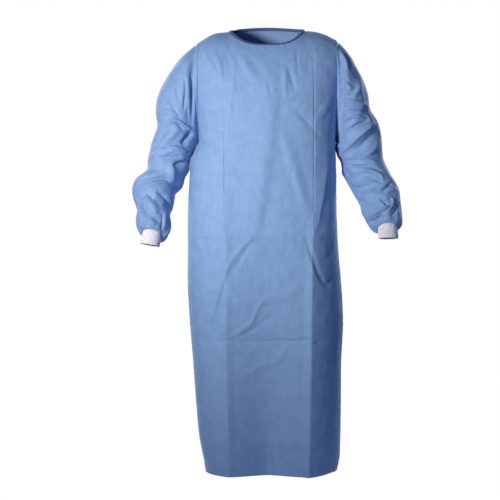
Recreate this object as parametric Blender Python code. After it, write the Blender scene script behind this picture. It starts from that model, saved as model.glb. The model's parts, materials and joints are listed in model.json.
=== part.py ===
"""A surgical gown with long sleeves, filled out as if it were worn, with nobody in it.

Metres, +Z up. The wearer faces -Y, so the wearer's right is -X. The origin is the middle of the
neck, level with the highest points of the shoulders. Each piece of cloth is a closed wall: a grid
of outer points, the same grid moved in by the cloth's thickness, and rims that join the two.
"""

import bmesh
import bpy
import numpy as np

# Driving dimensions.
LENGTH = 1.20  # shoulder line down to the hem
UNDERARM = -0.305  # height of the bottom of both armholes
ARMHOLE = 0.187  # each armhole lies in an upright plane this far from the middle
NECK = 0.107  # half the width of the neck opening, where it crosses the shoulder line
NECK_FRONT = -0.051  # lowest point of the front's edge, under the binding
NECK_BACK = 0.012  # highest point of the back's edge
NECK_ROUNDNESS_FRONT = 3.2  # 2 is an ellipse-like scoop, more is squarer
NECK_ROUNDNESS_BACK = 2.0
CROWN_RISE = 0.060  # how far the back's crown line arches over the neck
CROWN_ROUNDNESS = 1.3
ROUND_OFF = 0.12  # height over which the cloth turns in to the shoulder line, at the armhole
ROUND_OFF_NECK = 0.08  # as much again at the neck
CLOTH = 0.0015  # wall of one layer of cloth
KNIT = 0.0025  # wall of the cuffs
SEAM = 0.0003  # clear space between two pieces at a seam
BINDING_WIDTH = 0.008
BINDING_THICK = 0.0021
BINDING_SLOPE = 48  # degrees up from level at the sides of the neck
BINDING_SLOPE_CHANGE = 14  # more behind, less in front
BINDING_TURN = 0.07  # distance from the side seams' plane at which the change is whole
OVERLAP = 0.20  # how far each back panel passes the middle, as a share of the way round the back
LAYER = 0.0028  # how far the outer back panel stands off the inner one
LAYER_START = 0.97  # share across at which the outer panel begins to stand off
LAYER_RAMP = 0.13
ARMHOLE_REACH = 0.28  # the yoke's own width past the armhole, as a share of ARMHOLE
ARMHOLE_REACH_GROWTH = 1.5  # how late that width comes in on the way up
BOXINESS = 2.4  # 2 would make every level an ellipse
LEVEL_FOLD_REACH = 0.045  # how far above and below a level packing crease the cloth slopes

BLUE = (0.16, 0.31, 0.62, 1.0)
DEEP_BLUE = (0.12, 0.24, 0.52, 1.0)
WHITE = (0.78, 0.77, 0.86, 1.0)
CLOTH_ROUGHNESS = 0.62
BINDING_ROUGHNESS = 0.6
TAPE_ROUGHNESS = 0.8
KNIT_ROUGHNESS = 0.85

# Outline of the body seen from the front: half widths on the wearer's right and left, by height.
WIDTH_COLUMNS = ("z", "right", "left")
WIDTHS = (
    (-0.305, 0.187, 0.187),
    (-0.325, 0.1965, 0.187),
    (-0.353, 0.2085, 0.188),
    (-0.391, 0.2108, 0.189),
    (-0.490, 0.216, 0.190),
    (-0.600, 0.216, 0.195),
    (-0.708, 0.216, 0.204),
    (-0.790, 0.211, 0.208),
    (-0.900, 0.202, 0.203),
    (-1.009, 0.194, 0.202),
    (-1.119, 0.183, 0.200),
    (-1.173, 0.172, 0.197),
    (-1.200, 0.168, 0.191),
)

# How far the body stands forward and back, by height.
DEPTH_COLUMNS = ("z", "front", "back")
DEPTHS = (
    (0.000, 0.124, 0.112),
    (-0.150, 0.127, 0.118),
    (-0.305, 0.131, 0.120),
    (-0.600, 0.130, 0.120),
    (-0.900, 0.122, 0.118),
    (-1.200, 0.114, 0.114),
)

# Upright packing creases: how far they are from the middle, how far they stand proud, and how
# far the middle between them sinks.
CREASE_COLUMNS = (
    "z",
    "right_x",
    "left_x",
    "right_rise",
    "left_rise",
    "middle_sink",
    "back_rise",
    "back_sink",
)
CREASES = (
    (0.000, 0.107, 0.107, 0.000, 0.000, 0.000, 0.000, 0.000),
    (-0.120, 0.115, 0.118, 0.002, 0.002, 0.000, 0.002, 0.002),
    (-0.305, 0.1165, 0.1235, 0.004, 0.005, -0.002, 0.005, 0.006),
    (-0.490, 0.1125, 0.1215, 0.006, 0.008, -0.001, 0.007, 0.008),
    (-0.600, 0.110, 0.118, 0.008, 0.010, 0.002, 0.008, 0.010),
    (-0.900, 0.108, 0.113, 0.012, 0.015, 0.012, 0.010, 0.014),
    (-1.200, 0.101, 0.107, 0.020, 0.022, 0.028, 0.012, 0.018),
)

# Level packing creases, evenly spaced down the gown: the height of each and how far it stands
# proud, or how far it sinks in where the number is negative.
LEVEL_FOLDS = (
    (-0.2870, 0.001),
    (-0.5635, 0.004),
    (-0.8400, -0.004),
    (-1.1165, 0.004),
)

# The shoulder line, from the wearer's right to the left.
SHOULDER_COLUMNS = ("x", "z")
SHOULDERS = (
    (-0.187, -0.033),
    (-0.170, -0.022),
    (-0.150, -0.011),
    (-0.107, -0.004),
    (0.000, -0.003),
    (0.107, -0.003),
    (0.130, -0.005),
    (0.155, -0.012),
    (0.187, -0.025),
)

# One row for each ring of a sleeve: x and z of its outer point and of its inner point seen from
# the front, the middle's distance behind the shoulders (y), its half depth, and how far its front
# is raised, in degrees.
RIGHT_SLEEVE = (
    (-0.227, -0.066, -0.1895, -0.309, 0.000, 0.088, 0.0),
    (-0.252, -0.095, -0.193, -0.314, 0.000, 0.088, 0.0),
    (-0.282, -0.142, -0.197, -0.320, 0.000, 0.086, 0.0),
    (-0.300, -0.182, -0.201, -0.327, 0.000, 0.084, 0.0),
    (-0.304, -0.222, -0.206, -0.337, 0.000, 0.082, 0.0),
    (-0.300, -0.260, -0.2118, -0.353, 0.000, 0.080, 2.0),
    (-0.315, -0.306, -0.2140, -0.375, -0.001, 0.078, 5.0),
    (-0.324, -0.351, -0.2230, -0.400, -0.005, 0.075, 9.0),
    (-0.329, -0.386, -0.230, -0.424, -0.013, 0.073, 14.0),
    (-0.357, -0.413, -0.247, -0.440, -0.024, 0.074, 20.0),
    (-0.366, -0.439, -0.250, -0.460, -0.035, 0.070, 25.0),
    (-0.360, -0.465, -0.254, -0.482, -0.047, 0.065, 28.0),
    (-0.350, -0.490, -0.262, -0.500, -0.059, 0.061, 30.0),
    (-0.352, -0.515, -0.258, -0.524, -0.072, 0.060, 32.0),
    (-0.348, -0.537, -0.260, -0.548, -0.085, 0.053, 32.0),
    (-0.341, -0.552, -0.271, -0.562, -0.094, 0.043, 32.0),
    (-0.3352, -0.556, -0.2798, -0.5655, -0.0965, 0.0320, 32.0),
)
LEFT_SLEEVE = (
    (0.219, -0.058, 0.1893, -0.309, 0.000, 0.088, 0.0),
    (0.240, -0.092, 0.1910, -0.313, 0.000, 0.088, 0.0),
    (0.264, -0.138, 0.1930, -0.318, 0.000, 0.086, 0.0),
    (0.277, -0.178, 0.1955, -0.324, 0.000, 0.084, 0.0),
    (0.281, -0.213, 0.1980, -0.331, 0.000, 0.082, 0.0),
    (0.302, -0.247, 0.2005, -0.341, 0.000, 0.080, 0.0),
    (0.312, -0.284, 0.2020, -0.353, 0.000, 0.079, 2.0),
    (0.314, -0.322, 0.2035, -0.370, -0.003, 0.078, 5.0),
    (0.319, -0.358, 0.2040, -0.388, -0.010, 0.075, 9.0),
    (0.336, -0.400, 0.2170, -0.411, -0.020, 0.074, 16.0),
    (0.356, -0.439, 0.2330, -0.440, -0.034, 0.071, 23.0),
    (0.360, -0.474, 0.2490, -0.471, -0.048, 0.065, 28.0),
    (0.361, -0.501, 0.2550, -0.497, -0.062, 0.060, 31.0),
    (0.360, -0.522, 0.2660, -0.518, -0.077, 0.055, 32.0),
    (0.356, -0.536, 0.2790, -0.534, -0.087, 0.045, 32.0),
    (0.3480, -0.5430, 0.2920, -0.5430, -0.0925, 0.0320, 32.0),
)
GATHERS = 8  # waves round the end of each sleeve
GATHER_RINGS = 5  # rings over which they grow
GATHER_FADE = 1.4  # rings over which they die out again before the last one
ROUNDING_RINGS = 4  # rings over which the armhole's outline becomes an oval
GATHER_DEPTH = 0.0035
# Rings at which one solid of a sleeve ends and the next starts. The right sleeve flares more
# sharply at the elbow, so its elbow is a solid of its own.
RIGHT_JOINS = (7, 11)
LEFT_JOINS = (9,)

# Cuffs: how far the ring under the sleeve and the open end lie from the sleeve's last ring, along
# the arm, and the half width and half depth of the knit tube.
CUFF_HIDDEN = 0.020
CUFF_SHOWN = 0.030
CUFF_HALF_WIDTH = 0.0262
CUFF_HALF_DEPTH = 0.0302
CUFF_FLARE = 0.03  # how much wider the open end is, as a share
CUFF_END_TILT = 4  # degrees that the open end's front is raised

# Back closure: a hook and loop tab at the neck, and waist ties knotted at the back.
TIE_HEIGHT = -0.456
TIE_WIDTH = 0.024
TIE_THICK = 0.0016
TIE_LIFT = 0.0005  # from the cloth under a strip to the strip
TIE_TAIL = 0.14
TIE_TAIL_SHARE = 0.7  # width of a hanging end, as a share of TIE_WIDTH
TIE_INSET = 0.035  # share across from the side seam to the sewn end of a tie
TIE_RAMP = 0.10  # share across over which a tie climbs on to the outer panel
TAIL_START = 0.028  # share across from the middle to each hanging end
TAIL_SPREAD = 0.014
KNOT_SIZE = (0.034, 0.018, 0.030)
KNOT_SPAN = 0.003  # from the middle to the end of each strip under the knot
KNOT_CLEAR = 0.0005
KNOT_ORDER = (1.0, 2.7, 7.3)  # weights of x, y and z that give each face of the knot its own number
TAB_SPAN = 0.10
TAB_INSET = 0.012  # share across from the outer panel's free edge to the tab
TAB_WIDTH = 0.026
TAB_HEIGHT = -0.0435
TAB_LIFT = -0.0003  # the tab lies on the flat between two rows of the panel

SIDE_STEPS = 5
FRONT_STEPS = 5
YOKE_STEPS = 8
YOKE_CROWDING = 1.6  # more than 1 puts the yoke's rows closer together at the shoulder line
LOWER_STEPS = (6, 5, 5, 2)  # rows from the underarm to the first level crease, and so on to the hem
CUFF_RINGS = 5
SLEEVE_STEPS = 32
OFFSETS = 1e-5


def read(table, columns, name, at):
    """A table's column as a smooth curve through its rows: cubic pieces with matched slopes."""
    rows = np.array(sorted(table))
    stations = rows[:, 0]
    values = rows[:, columns.index(name)]
    slopes = np.gradient(values, stations)
    at = np.clip(at, stations[0], stations[-1])
    low = np.clip(np.searchsorted(stations, at) - 1, 0, len(stations) - 2)
    span = stations[low + 1] - stations[low]
    t = (at - stations[low]) / span
    start = (1 + 2 * t) * (1 - t) ** 2 * values[low] + t * (1 - t) ** 2 * span * slopes[low]
    end = t * t * (3 - 2 * t) * values[low + 1] + t * t * (t - 1) * span * slopes[low + 1]
    return start + end


def unit(vectors):
    return vectors / np.maximum(np.linalg.norm(vectors, axis=-1, keepdims=True), 1e-12)


def neckline(x, back):
    """Height of the cloth's edge round the neck: a shallow scoop in front, a low arch behind."""
    across = np.clip(np.abs(x) / NECK, 0, 1)
    ends = read(SHOULDERS, SHOULDER_COLUMNS, "z", np.sign(x) * NECK)
    middle = NECK_BACK if back else NECK_FRONT
    roundness = NECK_ROUNDNESS_BACK if back else NECK_ROUNDNESS_FRONT
    return ends + (middle - ends) * (1 - across**roundness)


def shoulder_height(x, back):
    """The line along which front and back would meet; over the neck it rises behind."""
    rise = CROWN_RISE if back else 0.0
    inside = np.clip(1 - (x / NECK) ** 2, 0, 1)
    return read(SHOULDERS, SHOULDER_COLUMNS, "z", x) + rise * inside**CROWN_ROUNDNESS


def top_edge(x, back):
    return np.where(np.abs(x) < NECK - OFFSETS, neckline(x, back), read(SHOULDERS, SHOULDER_COLUMNS, "z", x))


def half_width(z, x):
    right = read(WIDTHS, WIDTH_COLUMNS, "right", z)
    left = read(WIDTHS, WIDTH_COLUMNS, "left", z)
    return np.where(x < 0, right, left)


def depth_at(x, z, back):
    """Distance of the cloth from the plane of the side seams. Across, it is a rounded box; towards
    the shoulder line it closes like a quarter of an ellipse."""
    side_top = read(SHOULDERS, SHOULDER_COLUMNS, "z", np.sign(x + OFFSETS) * ARMHOLE)
    up = np.clip((z - UNDERARM) / (side_top - UNDERARM), 0, 1)
    width = half_width(z, x) * (1 + ARMHOLE_REACH * up**ARMHOLE_REACH_GROWTH)
    across = np.clip(1 - (np.abs(x) / width) ** BOXINESS, 0, 1) ** (1 / BOXINESS)
    crown = shoulder_height(x, back)
    near_neck = np.clip((ARMHOLE - np.abs(x)) / (ARMHOLE - NECK), 0, 1)
    round_off = ROUND_OFF + ROUND_OFF_NECK * near_neck
    closing = np.clip((z - (crown - round_off)) / round_off, 0, 1)
    reach = read(DEPTHS, DEPTH_COLUMNS, "back" if back else "front", z)
    return reach * across * np.sqrt(1 - closing**2)


def panel_points(across, down, back):
    """Points of the body's front or back. across is 0 at the wearer's right side, 0.25 and 0.75 at
    the upright creases and 1 at the left side; down is 0 at the top edge, 1 at the underarm and 2
    at the hem."""
    level = np.where(down < 1, down * UNDERARM, UNDERARM + (down - 1) * (-LENGTH - UNDERARM))
    right_side = across < 0.5
    crease_x = np.where(
        right_side,
        read(CREASES, CREASE_COLUMNS, "right_x", level),
        read(CREASES, CREASE_COLUMNS, "left_x", level),
    )
    width = half_width(level, np.where(right_side, -1.0, 1.0))
    crease_angle = np.arcsin(crease_x / width)
    from_middle = np.abs(across - 0.5)
    inner = crease_angle * from_middle / 0.25
    outer = crease_angle + (np.pi / 2 - crease_angle) * (from_middle - 0.25) / 0.25
    angle = np.where(from_middle <= 0.25, inner, outer)
    x = np.where(right_side, -1.0, 1.0) * width * np.sin(angle)
    z = np.where(down < 1, top_edge(x, back) * (1 - down) + UNDERARM * down, level)
    out = depth_at(x, z, back)
    if back:
        rise = read(CREASES, CREASE_COLUMNS, "back_rise", level)
        sink = read(CREASES, CREASE_COLUMNS, "back_sink", level)
    else:
        rise = np.where(
            right_side,
            read(CREASES, CREASE_COLUMNS, "right_rise", level),
            read(CREASES, CREASE_COLUMNS, "left_rise", level),
        )
        sink = read(CREASES, CREASE_COLUMNS, "middle_sink", level)
    near_crease = 1 - np.abs(from_middle - 0.25) / 0.25
    near_middle = np.clip(1 - from_middle / 0.25, 0, 1)
    away_from_side = np.clip(2 - 4 * from_middle, 0, 1)
    for fold_z, fold_rise in LEVEL_FOLDS:
        slope = np.clip(1 - np.abs(z - fold_z) / LEVEL_FOLD_REACH, 0, 1)
        out = out + fold_rise * slope * away_from_side
    out = out + rise * near_crease - sink * near_middle
    y = (1 if back else -1) * (out + SEAM / 2)
    return np.stack([x, y, z], -1)


def down_of(heights):
    """The down parameter of heights at or under the underarm."""
    return 1 + (UNDERARM - heights) / (UNDERARM + LENGTH)


def levels():
    """Rows of a panel: close together at the shoulder line, then even between the level creases.
    Two rows a seam's width apart stand at the underarm, where the upper solid ends and the lower
    one starts."""
    yoke = np.linspace(0, 1, YOKE_STEPS + 1) ** YOKE_CROWDING
    stops = [UNDERARM, *(fold_z for fold_z, _ in LEVEL_FOLDS[1:]), -LENGTH]
    rows = [np.linspace(a, b, n, endpoint=False) for a, b, n in zip(stops, stops[1:], LOWER_STEPS)]
    heights = np.append(np.concatenate(rows), -LENGTH)
    heights[0] -= SEAM
    return np.append(yoke, down_of(heights))


def across_steps(start, end):
    """Columns from one place across a panel to another, with one on each upright crease."""
    side = np.linspace(0, 0.25, SIDE_STEPS + 1)
    front = np.linspace(0.25, 0.75, 2 * FRONT_STEPS + 1)
    whole = np.concatenate([side, front[1:-1], 1 - side[::-1]])
    inside = whole[(whole > start + 0.01) & (whole < end - 0.01)]
    return np.concatenate([[start], inside, [end]])


def surface_normals(points, outward):
    """Unit normals of a grid, from the slopes along its rows and columns."""
    normals = unit(np.cross(np.gradient(points, axis=1), np.gradient(points, axis=0)))
    facing = np.sum(normals * outward, axis=-1, keepdims=True)
    return normals * np.where(facing < 0, -1, 1)


def neck_direction(points):
    """The way the binding stands up from the neck's edge: inwards, and steeper behind."""
    inwards = unit(np.stack([-points[..., 0], -points[..., 1], np.zeros_like(points[..., 0])], -1))
    behind = np.clip(points[..., 1:2] / BINDING_TURN, -1, 1)
    slope = np.radians(BINDING_SLOPE + BINDING_SLOPE_CHANGE * behind)
    return inwards * np.cos(slope) + np.array([0, 0, 1.0]) * np.sin(slope)


def panel_normals(points, across, down, back):
    """Normals of a panel, kept square to each seam and edge so that neighbours' rims stay apart."""
    outward = points * np.array([0.6, 1.0, 0]) + np.array([0, 0, 1e-4])
    normals = surface_normals(points, outward)
    side = (across < 0.001) | (across > 0.999)
    yoke_side = side & (down < 0.999)
    normals[yoke_side, 0] = 0
    normals[side & ~yoke_side, 1] = 0
    normals[down > 1.999, 2] = 0
    top = down < 0.001
    shoulder = top & (np.abs(points[..., 0]) > NECK - OFFSETS)
    normals[shoulder] *= np.array([1.0, 0, 1.0])
    normals[shoulder & (normals[..., 2] < 0)] *= -1
    neck = top & (np.abs(points[..., 0]) < NECK + 100 * OFFSETS)
    up = neck_direction(points)
    along = np.sum(normals * up, axis=-1, keepdims=True) * up
    normals = np.where(neck[..., None], normals - along, normals)
    return unit(normals)


def overlap_offset(across, back):
    """How far the outer back panel has moved out, from nothing at its side seam to a whole layer."""
    share = np.clip((LAYER_START - across) / LAYER_RAMP, 0, 1)
    return LAYER * share * share * (3 - 2 * share) * (1 if back else 0)


def add_wall(name, outer, inner, material, around=False):
    """A closed wall from two grids of points; around means that its rows close on themselves."""
    rows, columns = outer.shape[:2]
    number = np.arange(rows * columns).reshape(rows, columns)
    if around:
        number = np.concatenate([number, number[:, :1]], axis=1)
    here, right, below, both = number[:-1, :-1], number[:-1, 1:], number[1:, :-1], number[1:, 1:]
    skin = np.stack([here, right, both, below], -1).reshape(-1, 4)
    far = rows * columns
    edges = [number[0], number[-1]] if around else [number[0], number[-1], number[:, 0], number[:, -1]]
    faces = [skin, skin + far]
    for edge in edges:
        faces.append(np.stack([edge[:-1], edge[1:], edge[1:] + far, edge[:-1] + far], -1))
    points = np.concatenate([outer.reshape(-1, 3), inner.reshape(-1, 3)])
    mesh = bpy.data.meshes.new(name)
    mesh.from_pydata(points.tolist(), [], np.concatenate(faces).tolist())
    shell = bmesh.new()
    shell.from_mesh(mesh)
    bmesh.ops.recalc_face_normals(shell, faces=shell.faces)
    shell.to_mesh(mesh)
    shell.free()
    mesh.shade_smooth()
    mesh.set_sharp_from_angle(angle=np.radians(40))
    mesh.materials.append(material)
    piece = bpy.data.objects.new(name, mesh)
    gown.objects.link(piece)
    return piece


def cloth_material(name, colour, roughness):
    material = bpy.data.materials.new(name)
    material.use_nodes = True
    shader = material.node_tree.nodes["Principled BSDF"]
    shader.inputs["Base Color"].default_value = colour
    shader.inputs["Roughness"].default_value = roughness
    shader.inputs["Metallic"].default_value = 0.0
    material.diffuse_color = colour
    return material


def panel_grid(start, end, back, outer_layer=False):
    across, down = np.meshgrid(across_steps(start, end), levels())
    points = panel_points(across, down, back)
    normals = panel_normals(points, across, down, back)
    shared = unit(normals[YOKE_STEPS] + normals[YOKE_STEPS + 1])
    normals[YOKE_STEPS] = shared
    normals[YOKE_STEPS + 1] = shared
    if outer_layer:
        points = points + normals * overlap_offset(across, back)[..., None]
        points[across > 0.999] = panel_points(across, down, back)[across > 0.999]
    return across, points, normals


def make_body():
    """Three panels. Each is one piece of cloth, made here as an upper and a lower solid that meet
    at the underarm, so that each solid bends round less of the body's space."""
    right_end = 0.5 + OVERLAP
    left_end = 0.5 - OVERLAP
    for name, span in (
        ("front", (0.0, 1.0, False, False)),
        ("back_right", (0.0, right_end, True, False)),
        ("back_left", (left_end, 1.0, True, True)),
    ):
        across, points, normals = panel_grid(*span)
        cloth = cloth_material(name + "_cloth", BLUE, CLOTH_ROUGHNESS)
        inner = points - normals * CLOTH
        upper = slice(0, YOKE_STEPS + 1)
        lower = slice(YOKE_STEPS + 1, None)
        add_wall(name + "_upper", points[upper], inner[upper], cloth)
        add_wall(name + "_lower", points[lower], inner[lower], cloth)


def neck_edge():
    """The edge that the binding covers: the inner back panel, the front, then the outer one."""
    runs = []
    for start, end, back, outer_layer, backwards in (
        (0.0, 0.5 + OVERLAP, True, False, True),
        (0.0, 1.0, False, False, False),
        (0.5 - OVERLAP, 1.0, True, True, True),
    ):
        across, points, normals = panel_grid(start, end, back, outer_layer)
        inside = np.abs(points[0, :, 0]) < NECK + 100 * OFFSETS
        edge = points[0][inside]
        facing = normals[0][inside]
        runs.append((edge[::-1], facing[::-1]) if backwards else (edge, facing))
    first, middle, last = runs
    edge = np.concatenate([first[0], middle[0], last[0]])
    facing = np.concatenate([first[1], middle[1], last[1]])
    keep = np.append(True, np.linalg.norm(np.diff(edge, axis=0), axis=1) > 2 * SEAM)
    return edge[keep], facing[keep]


def make_binding():
    edge, facing = neck_edge()
    up = neck_direction(edge)
    middle = edge - facing * CLOTH / 2
    steps = SEAM + np.linspace(0, BINDING_WIDTH, 3)
    centre = middle[None] + up[None] * steps[:, None, None]
    half = facing[None] * BINDING_THICK / 2
    cloth = cloth_material("binding_cloth", DEEP_BLUE, BINDING_ROUGHNESS)
    add_wall("neck_binding", centre + half, centre - half, cloth)


def armhole_depth(z, side, back):
    x = side * ARMHOLE * np.ones_like(z)
    return depth_at(x, z, back) + SEAM / 2


def sleeve_rings(table, side):
    """Rings of a sleeve. The first is the armhole's own outline in its plane; the rest are ovals
    that pass through the table's outer and inner points, and the last few carry the gathers."""
    turn = 2 * np.pi * np.arange(SLEEVE_STEPS) / SLEEVE_STEPS
    top = float(read(SHOULDERS, SHOULDER_COLUMNS, "z", side * ARMHOLE))
    height = (top + UNDERARM) / 2 + (top - UNDERARM) / 2 * np.cos(turn)
    front = -armhole_depth(height, side, False)
    rear = armhole_depth(height, side, True)
    first_y = np.where(np.sin(turn) > OFFSETS, front, np.where(np.sin(turn) < -OFFSETS, rear, 0))
    first_x = np.full_like(turn, side * (ARMHOLE + SEAM))
    rings = [np.stack([first_x, first_y, height], -1)]
    rows = np.array(table)
    count = len(rows)
    for index, (ox, oz, ix, iz, y, depth, tilt) in enumerate(rows):
        outer = np.array([ox, y, oz])
        inner = np.array([ix, y, iz])
        raised = np.array([0, -np.cos(np.radians(tilt)), np.sin(np.radians(tilt))])
        share = min(1.0, (index + 1) / ROUNDING_RINGS)
        own = np.abs(first_y) / np.abs(first_y).max()
        oval = np.abs(np.sin(turn))
        rounding = np.sign(np.sin(turn)) * ((1 - share) * own + share * oval)
        growth = np.clip((index - (count - 1 - GATHER_RINGS)) / GATHER_RINGS, 0, 1)
        growth = growth * np.clip((count - 1 - index) / GATHER_FADE, 0, 1)
        wave = 1 + growth * GATHER_DEPTH / depth * np.cos(GATHERS * turn)
        middle = (outer + inner) / 2
        half = (outer - inner) / 2
        ring = middle + wave[:, None] * (
            np.cos(turn)[:, None] * half + (rounding * depth)[:, None] * raised
        )
        rings.append(ring)
    points = np.array(rings)
    along = np.gradient(points, axis=0)
    around = (np.roll(points, -1, axis=1) - np.roll(points, 1, axis=1)) / 2
    normals = unit(np.cross(around, along))
    centres = points.mean(axis=1, keepdims=True)
    facing = np.sum(normals * (points - centres), axis=-1, keepdims=True)
    normals *= np.where(facing < 0, -1, 1)
    normals[0, :, 0] = 0
    return points, unit(normals)


def make_sleeve(name, table, side, joins):
    """One piece of cloth, made as two or three solids that meet at the joins, as the body's panels
    are."""
    points, normals = sleeve_rings(table, side)
    cloth = cloth_material(name + "_cloth", BLUE, CLOTH_ROUGHNESS)
    labels = ("high", "middle", "low") if len(joins) == 2 else ("high", "low")
    starts = (0, *joins)
    ends = (*joins, len(points) - 1)
    for label, first, last in zip(labels, starts, ends):
        outer = points[first : last + 1].copy()
        if first > 0:
            outer[0] += unit(outer[1] - outer[0]) * SEAM
        inner = outer - normals[first : last + 1] * CLOTH
        add_wall(name + "_" + label, outer, inner, cloth, around=True)


def make_cuff(name, table):
    """A knit tube along the forearm, its top under the sleeve's gathered end."""
    ox, oz, ix, iz, y, depth, tilt = table[-1]
    middle = np.array([(ox + ix) / 2, y, (oz + iz) / 2])
    across = unit(np.array([ox - ix, 0.0, oz - iz]))
    raised = np.array([0, -np.cos(np.radians(tilt)), np.sin(np.radians(tilt))])
    down = unit(np.cross(raised, across))
    down = down * (-1 if down[2] > 0 else 1)
    turn = 2 * np.pi * np.arange(SLEEVE_STEPS) / SLEEVE_STEPS
    outer = []
    inner = []
    for step in np.linspace(-CUFF_HIDDEN, CUFF_SHOWN, CUFF_RINGS):
        shown = np.clip(step / CUFF_SHOWN, 0, 1)
        lift = np.radians(tilt + (CUFF_END_TILT - tilt) * shown)
        front = np.array([0, -np.cos(lift), np.sin(lift)])
        sideways = np.cos(turn)[:, None] * across * CUFF_HALF_WIDTH
        forward = np.sin(turn)[:, None] * front * CUFF_HALF_DEPTH
        rim = sideways + forward
        ring = middle + down * step + rim * (1 + CUFF_FLARE * shown)
        outer.append(ring)
        inner.append(ring - unit(rim) * KNIT)
    knit = cloth_material(name + "_knit", WHITE, KNIT_ROUGHNESS)
    add_wall(name, np.array(outer), np.array(inner), knit, around=True)


def tie_lift(across):
    """How far a strip on the back is moved out: over the outer panel it follows that panel."""
    start = 0.5 - OVERLAP
    share = np.clip((across - start) / TIE_RAMP + 1, 0, 1)
    return overlap_offset(across, True) * share + TIE_LIFT


def back_strip(name, across, heights, width, thick, material, extra=0.0):
    """A strip along a path on the back: the back's own points moved out, and its edges set square
    to the path."""
    down = np.where(heights < UNDERARM, down_of(heights), heights / UNDERARM)
    middle = panel_points(across, down, True)
    beside = panel_points(across + 0.004, down, True) - panel_points(across - 0.004, down, True)
    below = panel_points(across, down + 0.004, True) - panel_points(across, down - 0.004, True)
    normals = unit(np.cross(beside, below))
    normals *= np.sign(normals[:, 1:2])
    sideways = unit(np.cross(np.gradient(middle, axis=0), normals))
    middle = middle + normals * (tie_lift(across) + extra)[:, None]
    low = middle[None] + np.array([-0.5, 0, 0.5])[:, None, None] * width * sideways[None]
    add_wall(name, low + normals[None] * thick, low, material)


def make_closure():
    """A hook and loop tab on the outer panel's neck corner, and waist ties with a flat knot."""
    tie_cloth = cloth_material("tie_cloth", BLUE, CLOTH_ROUGHNESS)
    start = 0.5 - OVERLAP
    steps = across_steps(start + TAB_INSET, start + TAB_INSET + TAB_SPAN)
    tab_cloth = cloth_material("tab_cloth", WHITE, TAPE_ROUGHNESS)
    heights = np.full(len(steps), TAB_HEIGHT)
    back_strip("neck_tab", steps, heights, TAB_WIDTH, TIE_THICK, tab_cloth, TAB_LIFT)
    steps = across_steps(TIE_INSET, 0.5 - KNOT_SPAN)
    back_strip("tie_right", steps, np.full(len(steps), TIE_HEIGHT), TIE_WIDTH, TIE_THICK, tie_cloth)
    steps = across_steps(0.5 + KNOT_SPAN, 1 - TIE_INSET)
    back_strip("tie_left", steps, np.full(len(steps), TIE_HEIGHT), TIE_WIDTH, TIE_THICK, tie_cloth)
    for name, side in (("tie_tail_right", -1), ("tie_tail_left", 1)):
        start = TIE_HEIGHT - KNOT_SIZE[2] / 2 - 0.001
        rows = UNDERARM - (levels() - 1) * (UNDERARM + LENGTH)
        inside = rows[(rows < start - 0.01) & (rows > start - TIE_TAIL + 0.01)]
        heights = np.concatenate([[start], inside, [start - TIE_TAIL]])
        fall = (start - heights) / TIE_TAIL
        across = 0.5 + side * (TAIL_START + TAIL_SPREAD * fall)
        back_strip(name, across, heights, TIE_WIDTH * TIE_TAIL_SHARE, TIE_THICK, tie_cloth)
    shell = bmesh.new()
    bmesh.ops.create_uvsphere(shell, u_segments=12, v_segments=8, radius=0.5)
    level = np.array([down_of(TIE_HEIGHT)])
    seat = panel_points(np.array([0.5]), level, True)[0]
    rise = tie_lift(np.array([0.5]))[0] + TIE_THICK + KNOT_CLEAR + KNOT_SIZE[1] / 2
    for vertex in shell.verts:
        vertex.co.x = seat[0] + vertex.co.x * KNOT_SIZE[0]
        vertex.co.y = seat[1] + rise + vertex.co.y * KNOT_SIZE[1]
        vertex.co.z = seat[2] + vertex.co.z * KNOT_SIZE[2]
    # The sphere lists its faces in a new order each run, so they are put in a fixed one.
    shell.faces.sort(key=lambda face: face.calc_center_median().dot(KNOT_ORDER))
    mesh = bpy.data.meshes.new("tie_knot")
    shell.to_mesh(mesh)
    shell.free()
    mesh.shade_smooth()
    mesh.materials.append(tie_cloth)
    gown.objects.link(bpy.data.objects.new("tie_knot", mesh))


def clean_start():
    for item in list(bpy.data.objects):
        bpy.data.objects.remove(item, do_unlink=True)
    collection = bpy.data.collections.new("surgical_gown")
    bpy.context.scene.collection.children.link(collection)
    return collection


gown = clean_start()
make_body()
make_binding()
make_sleeve("sleeve_right", RIGHT_SLEEVE, -1, RIGHT_JOINS)
make_sleeve("sleeve_left", LEFT_SLEEVE, 1, LEFT_JOINS)
make_cuff("cuff_right", RIGHT_SLEEVE)
make_cuff("cuff_left", LEFT_SLEEVE)
make_closure()
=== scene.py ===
# %% [markdown]
# # A surgical gown, filled out as if worn
#
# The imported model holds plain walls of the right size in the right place. This lesson makes the
# cloth that is seen over them: each panel and sleeve is a surface of two parameters, worked out
# with numpy as whole arrays, and then creased, rippled and gathered. All lengths are in metres,
# +Z is up the wearer, the wearer faces -Y, and the origin is the middle of the neck.

# %% Load the fixed frame
import json

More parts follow.
